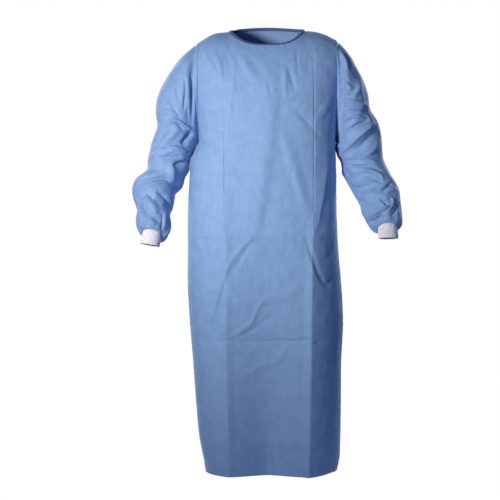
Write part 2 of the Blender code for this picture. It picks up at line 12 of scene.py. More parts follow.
import bpy
import numpy as np
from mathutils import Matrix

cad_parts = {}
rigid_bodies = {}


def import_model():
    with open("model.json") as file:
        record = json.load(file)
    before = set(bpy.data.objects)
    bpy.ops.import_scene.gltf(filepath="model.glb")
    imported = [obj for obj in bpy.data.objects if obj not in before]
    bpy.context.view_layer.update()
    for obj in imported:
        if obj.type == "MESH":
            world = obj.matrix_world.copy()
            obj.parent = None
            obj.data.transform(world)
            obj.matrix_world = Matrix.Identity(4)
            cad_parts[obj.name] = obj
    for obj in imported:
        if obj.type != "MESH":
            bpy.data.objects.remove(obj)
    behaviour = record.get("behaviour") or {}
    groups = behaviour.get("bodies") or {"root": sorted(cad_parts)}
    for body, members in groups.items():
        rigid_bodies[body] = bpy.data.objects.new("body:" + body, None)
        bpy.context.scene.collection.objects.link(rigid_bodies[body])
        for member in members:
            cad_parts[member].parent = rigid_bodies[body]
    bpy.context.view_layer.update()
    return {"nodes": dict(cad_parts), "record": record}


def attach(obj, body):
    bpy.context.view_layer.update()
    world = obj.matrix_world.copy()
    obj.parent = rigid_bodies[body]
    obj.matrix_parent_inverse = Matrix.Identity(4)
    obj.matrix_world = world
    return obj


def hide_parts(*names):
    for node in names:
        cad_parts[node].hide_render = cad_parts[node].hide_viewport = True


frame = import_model()
print("frame:", len(frame["nodes"]), "nodes")

# %% [markdown]
# ## The gown's measures
#
# The outline is a set of short tables, each with one row for a height. They could be curves drawn
# in the viewport, but numbers in a table are easy to compare with a tape measure, and the same
# rows shape both the walls underneath and the cloth over them.

# %% Measures of the body
LENGTH = 1.20  # shoulder line down to the hem
UNDERARM = -0.305
ARMHOLE = 0.187  # each armhole lies in an upright plane this far from the middle
NECK = 0.107
NECK_FRONT = -0.051
NECK_BACK = 0.012
NECK_ROUNDNESS_FRONT = 3.2
NECK_ROUNDNESS_BACK = 2.0
CROWN_RISE = 0.060
CROWN_ROUNDNESS = 1.3
ROUND_OFF = 0.12
ROUND_OFF_NECK = 0.08
SEAM = 0.0003
ARMHOLE_REACH = 0.28
BOXINESS = 2.4
OVERLAP = 0.20
LAYER = 0.0028
LAYER_START = 0.97
LAYER_RAMP = 0.13
SMALL = 1e-5

WIDTH_COLUMNS = ("z", "right", "left")
WIDTHS = (
    (-0.305, 0.187, 0.187),
    (-0.325, 0.1965, 0.187),
    (-0.353, 0.2085, 0.188),
    (-0.391, 0.2108, 0.189),
    (-0.490, 0.216, 0.190),
    (-0.600, 0.216, 0.195),
    (-0.708, 0.216, 0.204),
    (-0.790, 0.211, 0.208),
    (-0.900, 0.202, 0.203),
    (-1.009, 0.194, 0.202),
    (-1.119, 0.183, 0.200),
    (-1.173, 0.172, 0.197),
    (-1.200, 0.168, 0.191),
)
DEPTH_COLUMNS = ("z", "front", "back")
DEPTHS = (
    (0.000, 0.124, 0.112),
    (-0.150, 0.127, 0.118),
    (-0.305, 0.131, 0.120),
    (-0.600, 0.130, 0.120),
    (-0.900, 0.122, 0.118),
    (-1.200, 0.114, 0.114),
)
CREASE_COLUMNS = (
    "z", "right_x", "left_x", "right_rise", "left_rise", "middle_sink", "back_rise", "back_sink",
)
CREASES = (
    (0.000, 0.107, 0.107, 0.000, 0.000, 0.000, 0.000, 0.000),
    (-0.120, 0.115, 0.118, 0.002, 0.002, 0.000, 0.002, 0.002),
    (-0.305, 0.1165, 0.1235, 0.004, 0.005, -0.002, 0.005, 0.006),
    (-0.490, 0.1125, 0.1215, 0.006, 0.008, -0.001, 0.007, 0.008),
    (-0.600, 0.110, 0.118, 0.008, 0.010, 0.002, 0.008, 0.010),
    (-0.900, 0.108, 0.113, 0.012, 0.015, 0.012, 0.010, 0.014),
    (-1.200, 0.101, 0.107, 0.020, 0.022, 0.028, 0.012, 0.018),
)
SHOULDER_COLUMNS = ("x", "z")
SHOULDERS = (
    (-0.187, -0.033),
    (-0.170, -0.022),
    (-0.150, -0.011),
    (-0.107, -0.004),
    (0.000, -0.003),
    (0.107, -0.003),
    (0.130, -0.005),
    (0.155, -0.012),
    (0.187, -0.025),
)
print("body:", LENGTH, "m long,", len(WIDTHS), "widths")

# %% [markdown]
# ## Creases from the packet
#
# A gown is folded flat before it is sold, and the nonwoven cloth keeps every fold line. Upright
# lines run down at a quarter and three quarters of the way across, and four level lines cross them
# at even steps: three stand out a little and one is pressed in. They could be drawn in a bump map,
# but a fold line changes the outline and the shading of a whole cell of cloth, so here they move
# the surface.

# %% Level fold lines: height, how far each stands proud, and its reach above and below
LEVEL_FOLDS = (
    (-0.2870, 0.0010, 0.030),
    (-0.5635, 0.0050, 0.055),
    (-0.8400, -0.0055, 0.050),
    (-1.1165, 0.0055, 0.055),
)


def crisp(distance):
    """Profile of a pressed fold: 1 on its line, (1 - d) squared beside it, and 0 from d = 1 on."""
    return np.clip(1 - np.abs(distance), 0, 1) ** 2


def soft(distance):
    """Profile of a rounded fold: the cubic 3t^2 - 2t^3 of t = 1 - d."""
    t = np.clip(1 - np.abs(distance), 0, 1)
    return t * t * (3 - 2 * t)


def ramp(distance, reach):
    """0 up to the start, then rising evenly to 1 at reach."""
    return np.clip(distance / reach, 0, 1)


# %% Reading the tables
def read(table, columns, name, at):
    """A table's column as a smooth curve through its rows: cubic pieces with matched slopes."""
    rows = np.array(sorted(table))
    stations = rows[:, 0]
    values = rows[:, columns.index(name)]
    slopes = np.gradient(values, stations)
    at = np.clip(at, stations[0], stations[-1])
    low = np.clip(np.searchsorted(stations, at) - 1, 0, len(stations) - 2)
    span = stations[low + 1] - stations[low]
    t = (at - stations[low]) / span
    start = (1 + 2 * t) * (1 - t) ** 2 * values[low] + t * (1 - t) ** 2 * span * slopes[low]
    end = t * t * (3 - 2 * t) * values[low + 1] + t * t * (t - 1) * span * slopes[low + 1]
    return start + end


def unit(vectors):
    return vectors / np.maximum(np.linalg.norm(vectors, axis=-1, keepdims=True), 1e-12)


# %% The outline of the body as formulas
def shoulder(x):
    """Height of the shoulder line."""
    return read(SHOULDERS, SHOULDER_COLUMNS, "z", x)


def neckline(x, back):
    """Height of the cloth's edge round the neck: ends + (middle - ends) (1 - |x / NECK|^n)."""
    across = np.clip(np.abs(x) / NECK, 0, 1)
    ends = shoulder(np.sign(x) * NECK)
    middle = NECK_BACK if back else NECK_FRONT
    roundness = NECK_ROUNDNESS_BACK if back else NECK_ROUNDNESS_FRONT
    return ends + (middle - ends) * (1 - across**roundness)


def shoulder_height(x, back):
    """The line along which front and back would meet; over the neck it rises behind."""
    rise = CROWN_RISE if back else 0.0
    inside = np.clip(1 - (x / NECK) ** 2, 0, 1)
    return shoulder(x) + rise * inside**CROWN_ROUNDNESS


def top_edge(x, back):
    return np.where(np.abs(x) < NECK - SMALL, neckline(x, back), shoulder(x))


def half_width(z, x):
    right = read(WIDTHS, WIDTH_COLUMNS, "right", z)
    left = read(WIDTHS, WIDTH_COLUMNS, "left", z)
    return np.where(x < 0, right, left)


def depth_at(x, z, back):
    """Distance of the cloth from the plane of the side seams. Across, it is a rounded box,
    (1 - |x / w|^b)^(1/b); towards the shoulder line it closes like a quarter of an ellipse."""
    side_top = shoulder(np.sign(x + SMALL) * ARMHOLE)
    up = np.clip((z - UNDERARM) / (side_top - UNDERARM), 0, 1)
    width = half_width(z, x) * (1 + ARMHOLE_REACH * up**1.5)
    across = np.clip(1 - (np.abs(x) / width) ** BOXINESS, 0, 1) ** (1 / BOXINESS)
    near_neck = np.clip((ARMHOLE - np.abs(x)) / (ARMHOLE - NECK), 0, 1)
    round_off = ROUND_OFF + ROUND_OFF_NECK * near_neck
    closing = np.clip((z - (shoulder_height(x, back) - round_off)) / round_off, 0, 1)
    reach = read(DEPTHS, DEPTH_COLUMNS, "back" if back else "front", z)
    return reach * across * np.sqrt(1 - closing**2)


# %% A panel as a surface of two parameters
QUARTER = 0.25  # share across from the middle to an upright fold line, and from there to the side
VALLEY_SHARP = -1.118  # under this height the middle of the panel is a pressed line
VALLEY_RAMP = 0.02


def panel_points(across, down, back):
    """across runs from 0 at the wearer's right side, over 0.25 and 0.75 at the upright fold lines,
    to 1 at the left side; down is 0 at the top edge, 1 at the underarm and 2 at the hem. x is
    width sin(angle), z is read from down, and y is the depth there plus the folds' own rises."""
    level = np.where(down < 1, down * UNDERARM, UNDERARM + (down - 1) * (-LENGTH - UNDERARM))
    right_side = across < 0.5
    crease_x = np.where(
        right_side,
        read(CREASES, CREASE_COLUMNS, "right_x", level),
        read(CREASES, CREASE_COLUMNS, "left_x", level),
    )
    width = half_width(level, np.where(right_side, -1.0, 1.0))
    crease_angle = np.arcsin(crease_x / width)
    from_middle = np.abs(across - 0.5)
    inner = crease_angle * from_middle / QUARTER
    outer = crease_angle + (np.pi / 2 - crease_angle) * (from_middle - QUARTER) / QUARTER
    angle = np.where(from_middle <= QUARTER, inner, outer)
    x = np.where(right_side, -1.0, 1.0) * width * np.sin(angle)
    z = np.where(down < 1, top_edge(x, back) * (1 - down) + UNDERARM * down, level)
    out = depth_at(x, z, back)
    if back:
        rise = read(CREASES, CREASE_COLUMNS, "back_rise", level)
        sink = read(CREASES, CREASE_COLUMNS, "back_sink", level)
    else:
        rise = np.where(
            right_side,
            read(CREASES, CREASE_COLUMNS, "right_rise", level),
            read(CREASES, CREASE_COLUMNS, "left_rise", level),
        )
        sink = read(CREASES, CREASE_COLUMNS, "middle_sink", level)
    inner_share = ramp(from_middle, QUARTER)
    sharp = np.where(level > VALLEY_SHARP, soft((level - VALLEY_SHARP) / VALLEY_RAMP), 1.0)
    rounded_share = inner_share**2 * (1 - sharp) + inner_share * sharp
    near_crease = np.where(from_middle <= QUARTER, rounded_share, 2 - from_middle / QUARTER)
    near_middle = soft(from_middle / QUARTER)
    away_from_side = ramp(0.5 - from_middle, QUARTER)
    for fold_z, fold_rise, reach in LEVEL_FOLDS:
        out = out + fold_rise * crisp((z - fold_z) / reach) * away_from_side
    out = out + rise * near_crease - sink * near_middle
    y = (1 if back else -1) * (out + SEAM / 2)
    return np.stack([x, y, z], -1)


# %% Stations that crowd together where the cloth is creased
FINE_STEPS = 6001
PANEL_ROWS = 300
CROWDING = 1.2
ROW_CROWDING_REACH = 0.035
COLUMN_CROWDING_REACH = 0.030


def graded(low, high, count, places, reach, extra):
    """Stations from low to high: the running total of a density 1 + extra exp(-((s - p) / reach)^2)
    is read backwards at even steps, so that they lie closer near each place p."""
    fine = np.linspace(low, high, FINE_STEPS)
    bells = np.exp(-(((fine[:, None] - np.array(places)[None]) / reach) ** 2)).sum(axis=1)
    density = 1 + extra * bells
    total = np.concatenate([[0], np.cumsum((density[1:] + density[:-1]) / 2)])
    stations = np.interp(np.linspace(0, total[-1], count), total, fine)
    for place in places:
        stations[np.abs(stations - place).argmin()] = place
    return stations


def down_of(height):
    """The down parameter of a height under the underarm."""
    return 1 + (UNDERARM - height) / (UNDERARM + LENGTH)


crowded = [0.0] + [down_of(level_fold[0]) for level_fold in LEVEL_FOLDS[1:]]
ROWS = graded(0.0, 2.0, PANEL_ROWS, crowded, ROW_CROWDING_REACH, CROWDING)
print("rows on a panel:", len(ROWS))

# %% [markdown]
# ## Folds laid one by one
#
# Besides the packing lines, worn cloth has its own folds: drag lines from the armholes, troughs
# below the waist, small pinches where two fold lines cross. A cloth simulation would make others
# of its own, so each main fold is laid one by one as a line across the panel, with its rise, its
# width on either side, and a profile that is either pressed or rounded.

# %% A fold along a bent line
END_FADE = 0.6  # the power of the half sine by which a fold fades to both ends


def rounded(path):
    """The same path with its corners cut twice, at a quarter and three quarters of each stretch."""
    path = np.array(path, dtype=float)
    for _ in range(2):
        near = 0.75 * path[:-1] + 0.25 * path[1:]
        far = 0.25 * path[:-1] + 0.75 * path[1:]
        path = np.concatenate([path[:1], np.stack([near, far], 1).reshape(-1, 2), path[-1:]])
    return path


def fold(x, z, rise, left, right, profile, path):
    """Height of a fold over the points (x, z): rise times the profile of the distance to the line,
    measured in the width of the side that the point is on, and fading to both ends of the line."""
    path = rounded(path)
    start, step = path[:-1], np.diff(path, axis=0)
    length = np.linalg.norm(step, axis=1)
    run = np.concatenate([[0], np.cumsum(length)])
    reach = max(left, right)
    low, high = path.min(axis=0) - reach, path.max(axis=0) + reach
    near = (x > low[0]) & (x < high[0]) & (z > low[1]) & (z < high[1])
    point = np.stack([x[near], z[near]], -1)[:, None, :]
    share = np.clip(((point - start) * step).sum(-1) / length**2, 0, 1)
    gap = point - start - share[..., None] * step
    nearest = np.linalg.norm(gap, axis=-1).argmin(axis=1)[:, None]
    gap = np.take_along_axis(gap, nearest[..., None], axis=1)[:, 0]
    share = np.take_along_axis(share, nearest, axis=1)[:, 0]
    stretch = step[nearest[:, 0]]
    turned = stretch[:, 0] * gap[:, 1] - stretch[:, 1] * gap[:, 0]
    width = np.where(turned > 0, left, right)
    along = (run[nearest[:, 0]] + share * length[nearest[:, 0]]) / run[-1]
    ends = np.sin(np.pi * np.clip(along, 0, 1)) ** END_FADE
    height = np.zeros_like(x)
    height[near] = rise * profile(np.linalg.norm(gap, axis=-1) / width) * ends
    return height


# %% The front's folds, in millimetres: rise, width on the line's left and right, profile, line (x, z)
MM = 0.001
FRONT_FOLDS = (
    (-3.2, 4, 8, crisp, ((79, -56), (79.5, -98), (80, -131), (92, -133))),
    (2.5, 14, 8, crisp, ((-89, -60), (-90, -113), (-94, -176), (-102, -242), (-108, -298))),
    (3.0, 20, 16, soft, ((176, -192), (124, -258))),
    (-2.5, 8, 10, crisp, ((83, -239), (118, -271))),
    (3.0, 14, 10, crisp, ((-189, -340), (-151, -329), (-117, -303), (-108, -298))),
    (3.0, 24, 20, soft, ((-82, -65), (-31, -152))),
    (4.5, 34, 62, soft, ((-2, -98), (6, -176), (4, -282), (-4, -421))),
    (-2.0, 12, 12, soft, ((49, -102), (70, -165))),
    (4.5, 30, 55, soft, ((-9, -315), (-15, -440), (-46, -577))),
    (3.5, 24, 20, soft, ((33, -287), (55, -335), (86, -438), (112, -532))),
    (4.5, 14, 26, crisp, ((166, -341), (149, -440), (130, -545))),
    (2.5, 8, 8, crisp, ((-212, -559), (-160, -564), (-146, -558), (-100, -557))),
    (4.0, 10, 14, crisp, ((-46, -570), (-71, -595), (-108, -647), (-114, -690))),
    (-3.0, 12, 8, crisp, ((-42, -580), (-60, -602), (-77, -632), (-96, -662))),
    (-7.5, 30, 8, crisp, ((-108, -660), (-117, -698), (-131, -755), (-143, -789), (-156, -836))),
    (-6.0, 16, 12, crisp, ((98, -560), (112, -601), (124, -641), (144, -681), (161, -698), (188, -665))),
    (4.0, 18, 24, soft, ((-95, -741), (-80, -733), (-48, -730), (-11, -730), (94, -705))),
    (4.0, 14, 10, crisp, ((-5, -727), (-25, -747), (-34, -773), (-45, -796), (-77, -816), (-112, -838))),
    (-3.5, 10, 10, crisp, ((22, -765), (-31, -807), (-78, -832))),
    (3.0, 9, 9, crisp, ((52, -835), (86, -828), (120, -825))),
    (3.0, 7, 7, crisp, ((90, -850), (128, -838))),
    (3.0, 7, 7, crisp, ((-116, -852), (-84, -843))),
    (-3.0, 10, 10, crisp, ((-90, -853), (-42, -893))),
    (4.0, 14, 18, crisp, ((53, -850), (38, -888), (17, -896), (-14, -905), (-66, -931))),
    (-3.0, 9, 9, crisp, ((-86, -951), (-31, -954), (-14, -948), (40, -955))),
    (2.0, 8, 8, crisp, ((43, -982), (112, -968))),
    (-2.5, 7, 7, crisp, ((8, -1060), (38, -1066), (64, -1058))),
    (-2.0, 6, 6, crisp, ((34, -1060), (39, -1088))),
    (2.0, 7, 7, crisp, ((13, -1045), (26, -1028), (50, -1040))),
    (3.0, 9, 9, crisp, (
        (-186, -1102), (-99, -1107), (-31, -1109), (14, -1111), (69, -1120), (107, -1126), (186, -1101),
    )),
    (2.0, 7, 7, crisp, ((-205, -509), (-150, -509))),
    (2.0, 7, 7, crisp, ((-200, -530), (-147, -530))),
    (-2.0, 7, 7, crisp, ((-200, -602), (-144, -602))),
    (2.0, 8, 8, crisp, ((-197, -629), (-144, -623))),
    (2.5, 10, 10, crisp, ((-197, -720), (-165, -707), (-126, -708))),
    (-3.0, 12, 12, soft, ((178, -570), (162, -626))),
    (2.5, 10, 10, soft, ((-172, -62), (-147, -113), (-130, -140))),
    (-2.0, 9, 9, soft, ((-184, -50), (-179, -128))),
    (-2.0, 8, 8, crisp, ((35, -1160), (71, -1124))),
    (2.0, 6, 6, crisp, ((-118, -290), (-118.5, -420), (-116, -560))),
    (-2.2, 5, 9, crisp, ((2, -150), (6, -176), (14, -200))),
    (2.4, 7, 12, soft, ((52, -110), (46, -150), (50, -200))),
    (-2.4, 7, 9, soft, ((61, -128), (68, -160), (74, -182))),
    (2.6, 12, 10, soft, ((-140, -70), (-128, -110), (-122, -150))),
    (-2.6, 5, 5, crisp, ((-112, -842.5), (-4, -841), (116, -840.5))),
    (1.8, 4, 5, crisp, ((-108, -850), (2, -849), (112, -848))),
    (-2.0, 4, 4, crisp, ((-212, -556), (-160, -559), (-104, -559))),
    (-2.0, 4, 4, crisp, ((26, -567), (74, -560), (122, -556))),
    (-1.8, 4, 4, crisp, ((-190, -1120), (-60, -1119), (20, -1121), (110, -1130))),
    (2.6, 8, 8, crisp, ((6, -1114), (13, -1170), (20, -1208))),
    (3.6, 7, 7, crisp, ((-118, -842), (-104, -844), (-92, -843))),
    (3.6, 7, 7, crisp, ((98, -840), (112, -842), (126, -840))),
    (-2.2, 4, 4, crisp, ((121, -50), (124, -150), (123.5, -305), (121.5, -550))),
    (-1.9, 3, 3, crisp, ((-116, -50), (-116, -142), (-115, -305), (-111.5, -550))),
    (-1.1, 2.5, 2.5, crisp, ((-118, -120), (-121.5, -305), (-118, -550))),
)
print("folds on the front:", len(FRONT_FOLDS))

# %% The back's folds, of the same kinds, with drag lines to the ties
BACK_FOLDS = (
    (4.0, 26, 26, soft, ((-150, -180), (-80, -300), (-20, -420))),
    (-3.5, 14, 12, crisp, ((152, -230), (98, -330), (40, -432))),
    (3.0, 12, 14, crisp, ((-178, -345), (-110, -398), (-45, -438))),
    (-3.0, 12, 10, crisp, ((-170, -520), (-100, -492), (-35, -474))),
    (3.5, 14, 12, crisp, ((180, -560), (105, -505), (38, -478))),
    (-6.0, 15, 12, crisp, ((-118, -590), (-126, -660), (-142, -730), (-150, -800))),
    (5.0, 22, 16, soft, ((60, -560), (75, -660), (70, -770), (94, -862))),
    (-5.0, 12, 16, crisp, ((116, -640), (128, -700), (150, -770))),
    (3.5, 18, 22, soft, ((-82, -705), (-10, -722), (70, -690))),
    (-3.0, 10, 9, crisp, ((-60, -770), (-20, -800), (52, -826))),
    (3.0, 12, 14, crisp, ((-40, -872), (10, -908), (72, -918))),
    (-3.0, 9, 9, crisp, ((-105, -955), (-50, -946), (16, -958))),
    (2.5, 10, 9, crisp, ((60, -1010), (118, -992), (160, -1014))),
    (3.0, 10, 10, crisp, ((-178, -1108), (-80, -1113), (40, -1108), (178, -1120))),
    (2.5, 10, 10, soft, ((170, -60), (150, -130), (120, -190))),
    (2.0, 7, 7, crisp, ((192, -505), (140, -512))),
    (-2.0, 7, 7, crisp, ((196, -612), (146, -604))),
    (-2.5, 8, 8, crisp, ((-36, -1050), (2, -1066), (30, -1058))),
)
print("folds on the back:", len(BACK_FOLDS))


def add_folds(x, z, folds):
    """The sum of a table's folds, which are in millimetres, at the points (x, z), in metres."""
    total = np.zeros_like(x)
    for rise, left, right, profile, path in folds:
        total += fold(x, z, rise * MM, left * MM, right * MM, profile, np.array(path) * MM)
    return total


# %% [markdown]
# ## Fine crumple and puckers
#
# Nonwoven cloth is papery: between the folds it is never quite flat. Sharp small facets could come
# from a cell pattern, but a sum of folded waves in many directions gives the same papery facets,
# and it is one formula. Seams pull the cloth into short ripples square to the stitches.

# %% Papery crumple
rng = np.random.default_rng(7)


def crumple(u, v, count, size, height, drift):
    """A sum of count creased waves, |sin| with random directions and phases. Their wavelengths are
    near size, and each wave's strength drifts over the cloth in patches drift metres wide."""
    total = np.zeros_like(u)
    for _ in range(count):
        heading = rng.uniform(0, np.pi)
        wavelength = size * rng.uniform(0.7, 1.6)
        phase, patch_u, patch_v = rng.uniform(0, 2 * np.pi, 3)
        bend = 0.35 * np.sin(2 * np.pi * (u + v) / (3 * size) + patch_u)
        along = (u * np.cos(heading) + v * np.sin(heading)) / wavelength
        ridge = 1 - np.abs(np.sin(np.pi * along + phase + bend)) * 2
        patch = np.sin(2 * np.pi * u / drift + patch_u) * np.sin(2 * np.pi * v / drift + patch_v)
        total += ridge * np.clip(patch, 0, 1)
    return total * height / np.sqrt(count)


def puckers(distance, along, reach, spacing, height):
    """Ripples square to a seam: a wave along it, uneven in spacing, that fades with distance."""
    wave = np.sin(2 * np.pi * along / spacing + 1.7 * np.sin(2 * np.pi * along / (spacing * 4.3)))
    uneven = 0.6 + 0.4 * np.sin(2 * np.pi * along / (spacing * 6.1) + 1.0)
    return height * wave * uneven * np.exp(-((distance / reach) ** 2))


# %% [markdown]
# ## Cloth materials
#
# The cloth is spunbond: fine white-blue fibres pressed together at a grid of tiny points. Its
# colour is a clear mid blue, the fibres give it a soft sheen, and the points show close up as
# small dimples. An image of the cloth would be quicker, but a pattern worked out from the piece's
# own flat coordinates stays sharp at any distance and has no repeat.

# %% Helpers for node materials
def new_material(name):
    material = bpy.data.materials.new(name)
    material.use_nodes = True
    return material, material.node_tree, material.node_tree.nodes["Principled BSDF"]


def math_node(tree, operation, first, second=None):
    """A Math node on two inputs, each a number or the output of another node."""
    node = tree.nodes.new("ShaderNodeMath")
    node.operation = operation
    for socket, value in zip(node.inputs, (first, second)):
        if value is None:
            continue
        if isinstance(value, (int, float)):
            socket.default_value = value
        else:
            tree.links.new(value, socket)
    return node.outputs[0]


def times(tree, value, factor):
    return math_node(tree, "MULTIPLY", value, factor)


def plus(tree, first, second):
    return math_node(tree, "ADD", first, second)


def sine_node(tree, value, spacing):
    """A sine of one period in each spacing."""
    return math_node(tree, "SINE", times(tree, value, 2 * np.pi / spacing))


def noise_node(tree, coordinates, scale, detail, roughness=0.55, distortion=0.0):
    node = tree.nodes.new("ShaderNodeTexNoise")
    tree.links.new(coordinates, node.inputs["Vector"])
    node.inputs["Scale"].default_value = scale
    node.inputs["Detail"].default_value = detail
    node.inputs["Roughness"].default_value = roughness
    node.inputs["Distortion"].default_value = distortion
    return node.outputs["Fac"]


def ramp_node(tree, value, stops):
    """A Color Ramp through stops of (place, (red, green, blue))."""
    node = tree.nodes.new("ShaderNodeValToRGB")
    while len(node.color_ramp.elements) < len(stops):
        node.color_ramp.elements.new(0.5)
    for element, (place, colour) in zip(node.color_ramp.elements, stops):
        element.position = place
        element.color = (*colour, 1.0)
    tree.links.new(value, node.inputs["Fac"])
    return node.outputs["Color"]


def flat_coordinates(tree):
    """The piece's own UV map in metres of cloth, split into its two numbers."""
    source = tree.nodes.new("ShaderNodeUVMap")
    source.uv_map = "cloth"
    parts = tree.nodes.new("ShaderNodeSeparateXYZ")
    tree.links.new(source.outputs["UV"], parts.inputs["Vector"])
    return source.outputs["UV"], parts.outputs["X"], parts.outputs["Y"]


# %% The blue nonwoven cloth
BOND_SPACING = 0.0016  # between the pressed points
CLOTH_ROUGHNESS = 0.66  # where the cloth is least cloudy


def nonwoven(name, dark, light):
    """Colour: a quarter of fibre noise plus broad clouds and streaks along the cloth, from dark to
    light. Relief: the pressed points, a product of two sines, with fibres over them, and a second,
    broader bump."""
    material, tree, shader = new_material(name)
    flat, u, v = flat_coordinates(tree)
    point = times(tree, sine_node(tree, u, BOND_SPACING), sine_node(tree, v, BOND_SPACING))
    fibre = noise_node(tree, flat, scale=900.0, detail=4.0, roughness=0.65, distortion=1.5)
    cloudy = noise_node(tree, flat, scale=38.0, detail=5.0, roughness=0.6)
    stretch = tree.nodes.new("ShaderNodeMapping")
    stretch.inputs["Scale"].default_value = (1.0, 0.06, 1.0)
    tree.links.new(flat, stretch.inputs["Vector"])
    streak = noise_node(tree, stretch.outputs["Vector"], scale=260.0, detail=3.0, roughness=0.6)
    blotch = plus(tree, times(tree, cloudy, 0.45), times(tree, streak, 0.30))
    mix = plus(tree, times(tree, fibre, 0.25), blotch)
    colour = ramp_node(tree, mix, ((0.30, dark), (0.72, light)))
    tree.links.new(colour, shader.inputs["Base Color"])
    rough = plus(tree, times(tree, cloudy, 0.16), CLOTH_ROUGHNESS)
    tree.links.new(rough, shader.inputs["Roughness"])
    shader.inputs["Specular IOR Level"].default_value = 0.38
    shader.inputs["Sheen Weight"].default_value = 0.10
    shader.inputs["Sheen Roughness"].default_value = 0.45
    relief = plus(tree, times(tree, point, 0.35), times(tree, fibre, 0.9))
    fine = tree.nodes.new("ShaderNodeBump")
    fine.inputs["Strength"].default_value = 0.35
    fine.inputs["Distance"].default_value = 0.0002
    tree.links.new(relief, fine.inputs["Height"])
    broad = tree.nodes.new("ShaderNodeBump")
    broad.inputs["Strength"].default_value = 0.5
    broad.inputs["Distance"].default_value = 0.0010
    lumps = noise_node(tree, flat, scale=95.0, detail=3.0, roughness=0.5, distortion=0.8)
    tree.links.new(lumps, broad.inputs["Height"])
    tree.links.new(fine.outputs["Normal"], broad.inputs["Normal"])
    tree.links.new(broad.outputs["Normal"], shader.inputs["Normal"])
    return material


gown_cloth = nonwoven("gown_cloth", (0.160, 0.297, 0.562), (0.245, 0.408, 0.728))
# The binding's colours are far darker than the gown's, on a strip of the same cloth: painted shade for the
# shadow along the neck's edge.
binding_cloth = nonwoven("binding_cloth", (0.050, 0.085, 0.300), (0.075, 0.125, 0.370))
print("cloth materials:", gown_cloth.name, binding_cloth.name)


# %% The knit of the cuffs
LOOP_SPACING = 0.0014


def rib_knit(name):
    """White stretch yarn: a row of loops for each turn of the knit, a sine of v along the cuff,
    with the yarn's own noise and broad clouds, from a bluer white to a clear one."""
    material, tree, shader = new_material(name)
    flat, _, v = flat_coordinates(tree)
    loop = sine_node(tree, v, LOOP_SPACING)
    yarn = noise_node(tree, flat, scale=1400.0, detail=3.0)
    cloudy = noise_node(tree, flat, scale=90.0, detail=3.0)
    fuzz = plus(tree, times(tree, yarn, 0.3), times(tree, cloudy, 0.6))
    mix = plus(tree, times(tree, loop, 0.12), fuzz)
    colour = ramp_node(tree, mix, ((0.20, (0.74, 0.74, 0.89)), (0.65, (0.92, 0.92, 1.00))))
    tree.links.new(colour, shader.inputs["Base Color"])
    shader.inputs["Roughness"].default_value = 0.85
    shader.inputs["Sheen Weight"].default_value = 0.25
    shader.inputs["Sheen Roughness"].default_value = 0.6
    bump = tree.nodes.new("ShaderNodeBump")
    bump.inputs["Strength"].default_value = 0.6
    bump.inputs["Distance"].default_value = 0.0004
    tree.links.new(plus(tree, loop, yarn), bump.inputs["Height"])
    tree.links.new(bump.outputs["Normal"], shader.inputs["Normal"])
    return material


cuff_knit = rib_knit("cuff_knit")
tab_cloth = rib_knit("tab_cloth")
print("knit material:", cuff_knit.name)


# %% [markdown]
# ## From a grid of points to cloth
#
# Every piece below is a grid of points. One helper turns a grid into a mesh with a flat map in
# metres, faces pointing out, and a Solidify modifier that gives the cloth its thickness. Building
# two skins by hand would work too, but the modifier keeps the grid simple to read.

# %% A mesh from a grid
def flat_map(points, around):
    """u is the length of cloth along each row, from its middle; v is the length down the columns."""
    if around:
        points = np.concatenate([points, points[:, :1]], axis=1)
    along = np.linalg.norm(np.diff(points, axis=1), axis=-1)
    u = np.concatenate([np.zeros((len(points), 1)), np.cumsum(along, axis=1)], axis=1)
    u = u - u[:, u.shape[1] // 2][:, None]
    fall = np.linalg.norm(np.diff(points, axis=0), axis=-1).mean(axis=1)
    v = -np.concatenate([[0], np.cumsum(fall)])[:, None] * np.ones_like(u)
    return u, v


def grid_normals(points, outward, around=False):
    """Unit normals from the slopes along rows and columns, turned to the side of outward."""
    if around:
        beside = np.roll(points, -1, axis=1) - np.roll(points, 1, axis=1)
    else:
        beside = np.gradient(points, axis=1)
    normals = unit(np.cross(beside, np.gradient(points, axis=0)))
    facing = np.sum(normals * outward, axis=-1, keepdims=True)
    return normals * np.where(facing < 0, -1, 1)


def cloth_piece(name, points, outward, material, thickness, around=False):
    rows, columns = points.shape[:2]
    number = np.arange(rows * columns).reshape(rows, columns)
    if around:
        number = np.concatenate([number, number[:, :1]], axis=1)
    u, v = flat_map(points, around)
    quads = np.stack([number[:-1, :-1], number[:-1, 1:], number[1:, 1:], number[1:, :-1]], -1)
    flat = np.stack([u, v], -1)
    corners = np.stack([flat[:-1, :-1], flat[:-1, 1:], flat[1:, 1:], flat[1:, :-1]], -2)
    mid = (rows // 2, columns // 2)
    p00, p01, p10 = points[mid], points[mid[0], mid[1] + 1], points[mid[0] + 1, mid[1]]
    if np.dot(np.cross(p01 - p00, p10 - p00), outward[mid]) < 0:
        quads = quads[..., ::-1]
        corners = corners[..., ::-1, :]
    mesh = bpy.data.meshes.new(name)
    mesh.from_pydata(points.reshape(-1, 3).tolist(), [], quads.reshape(-1, 4).tolist())
    layer = mesh.uv_layers.new(name="cloth")
    layer.data.foreach_set("uv", corners.reshape(-1).astype(np.float32))
    mesh.shade_smooth()
    mesh.materials.append(material)
    piece = bpy.data.objects.new(name, mesh)
    bpy.context.scene.collection.objects.link(piece)
    if thickness:
        wall = piece.modifiers.new("thickness", "SOLIDIFY")
        wall.thickness = thickness
        wall.offset = -1.0
    return piece


# %% [markdown]
# ## Front and back panels
#
# The front is one piece of cloth from side seam to side seam. The back is two panels that pass
# each other in the middle, the wearer's left one on the outside. Each is the body's surface, moved
# along its own normals by the folds, the crumple and the puckers at its seams.

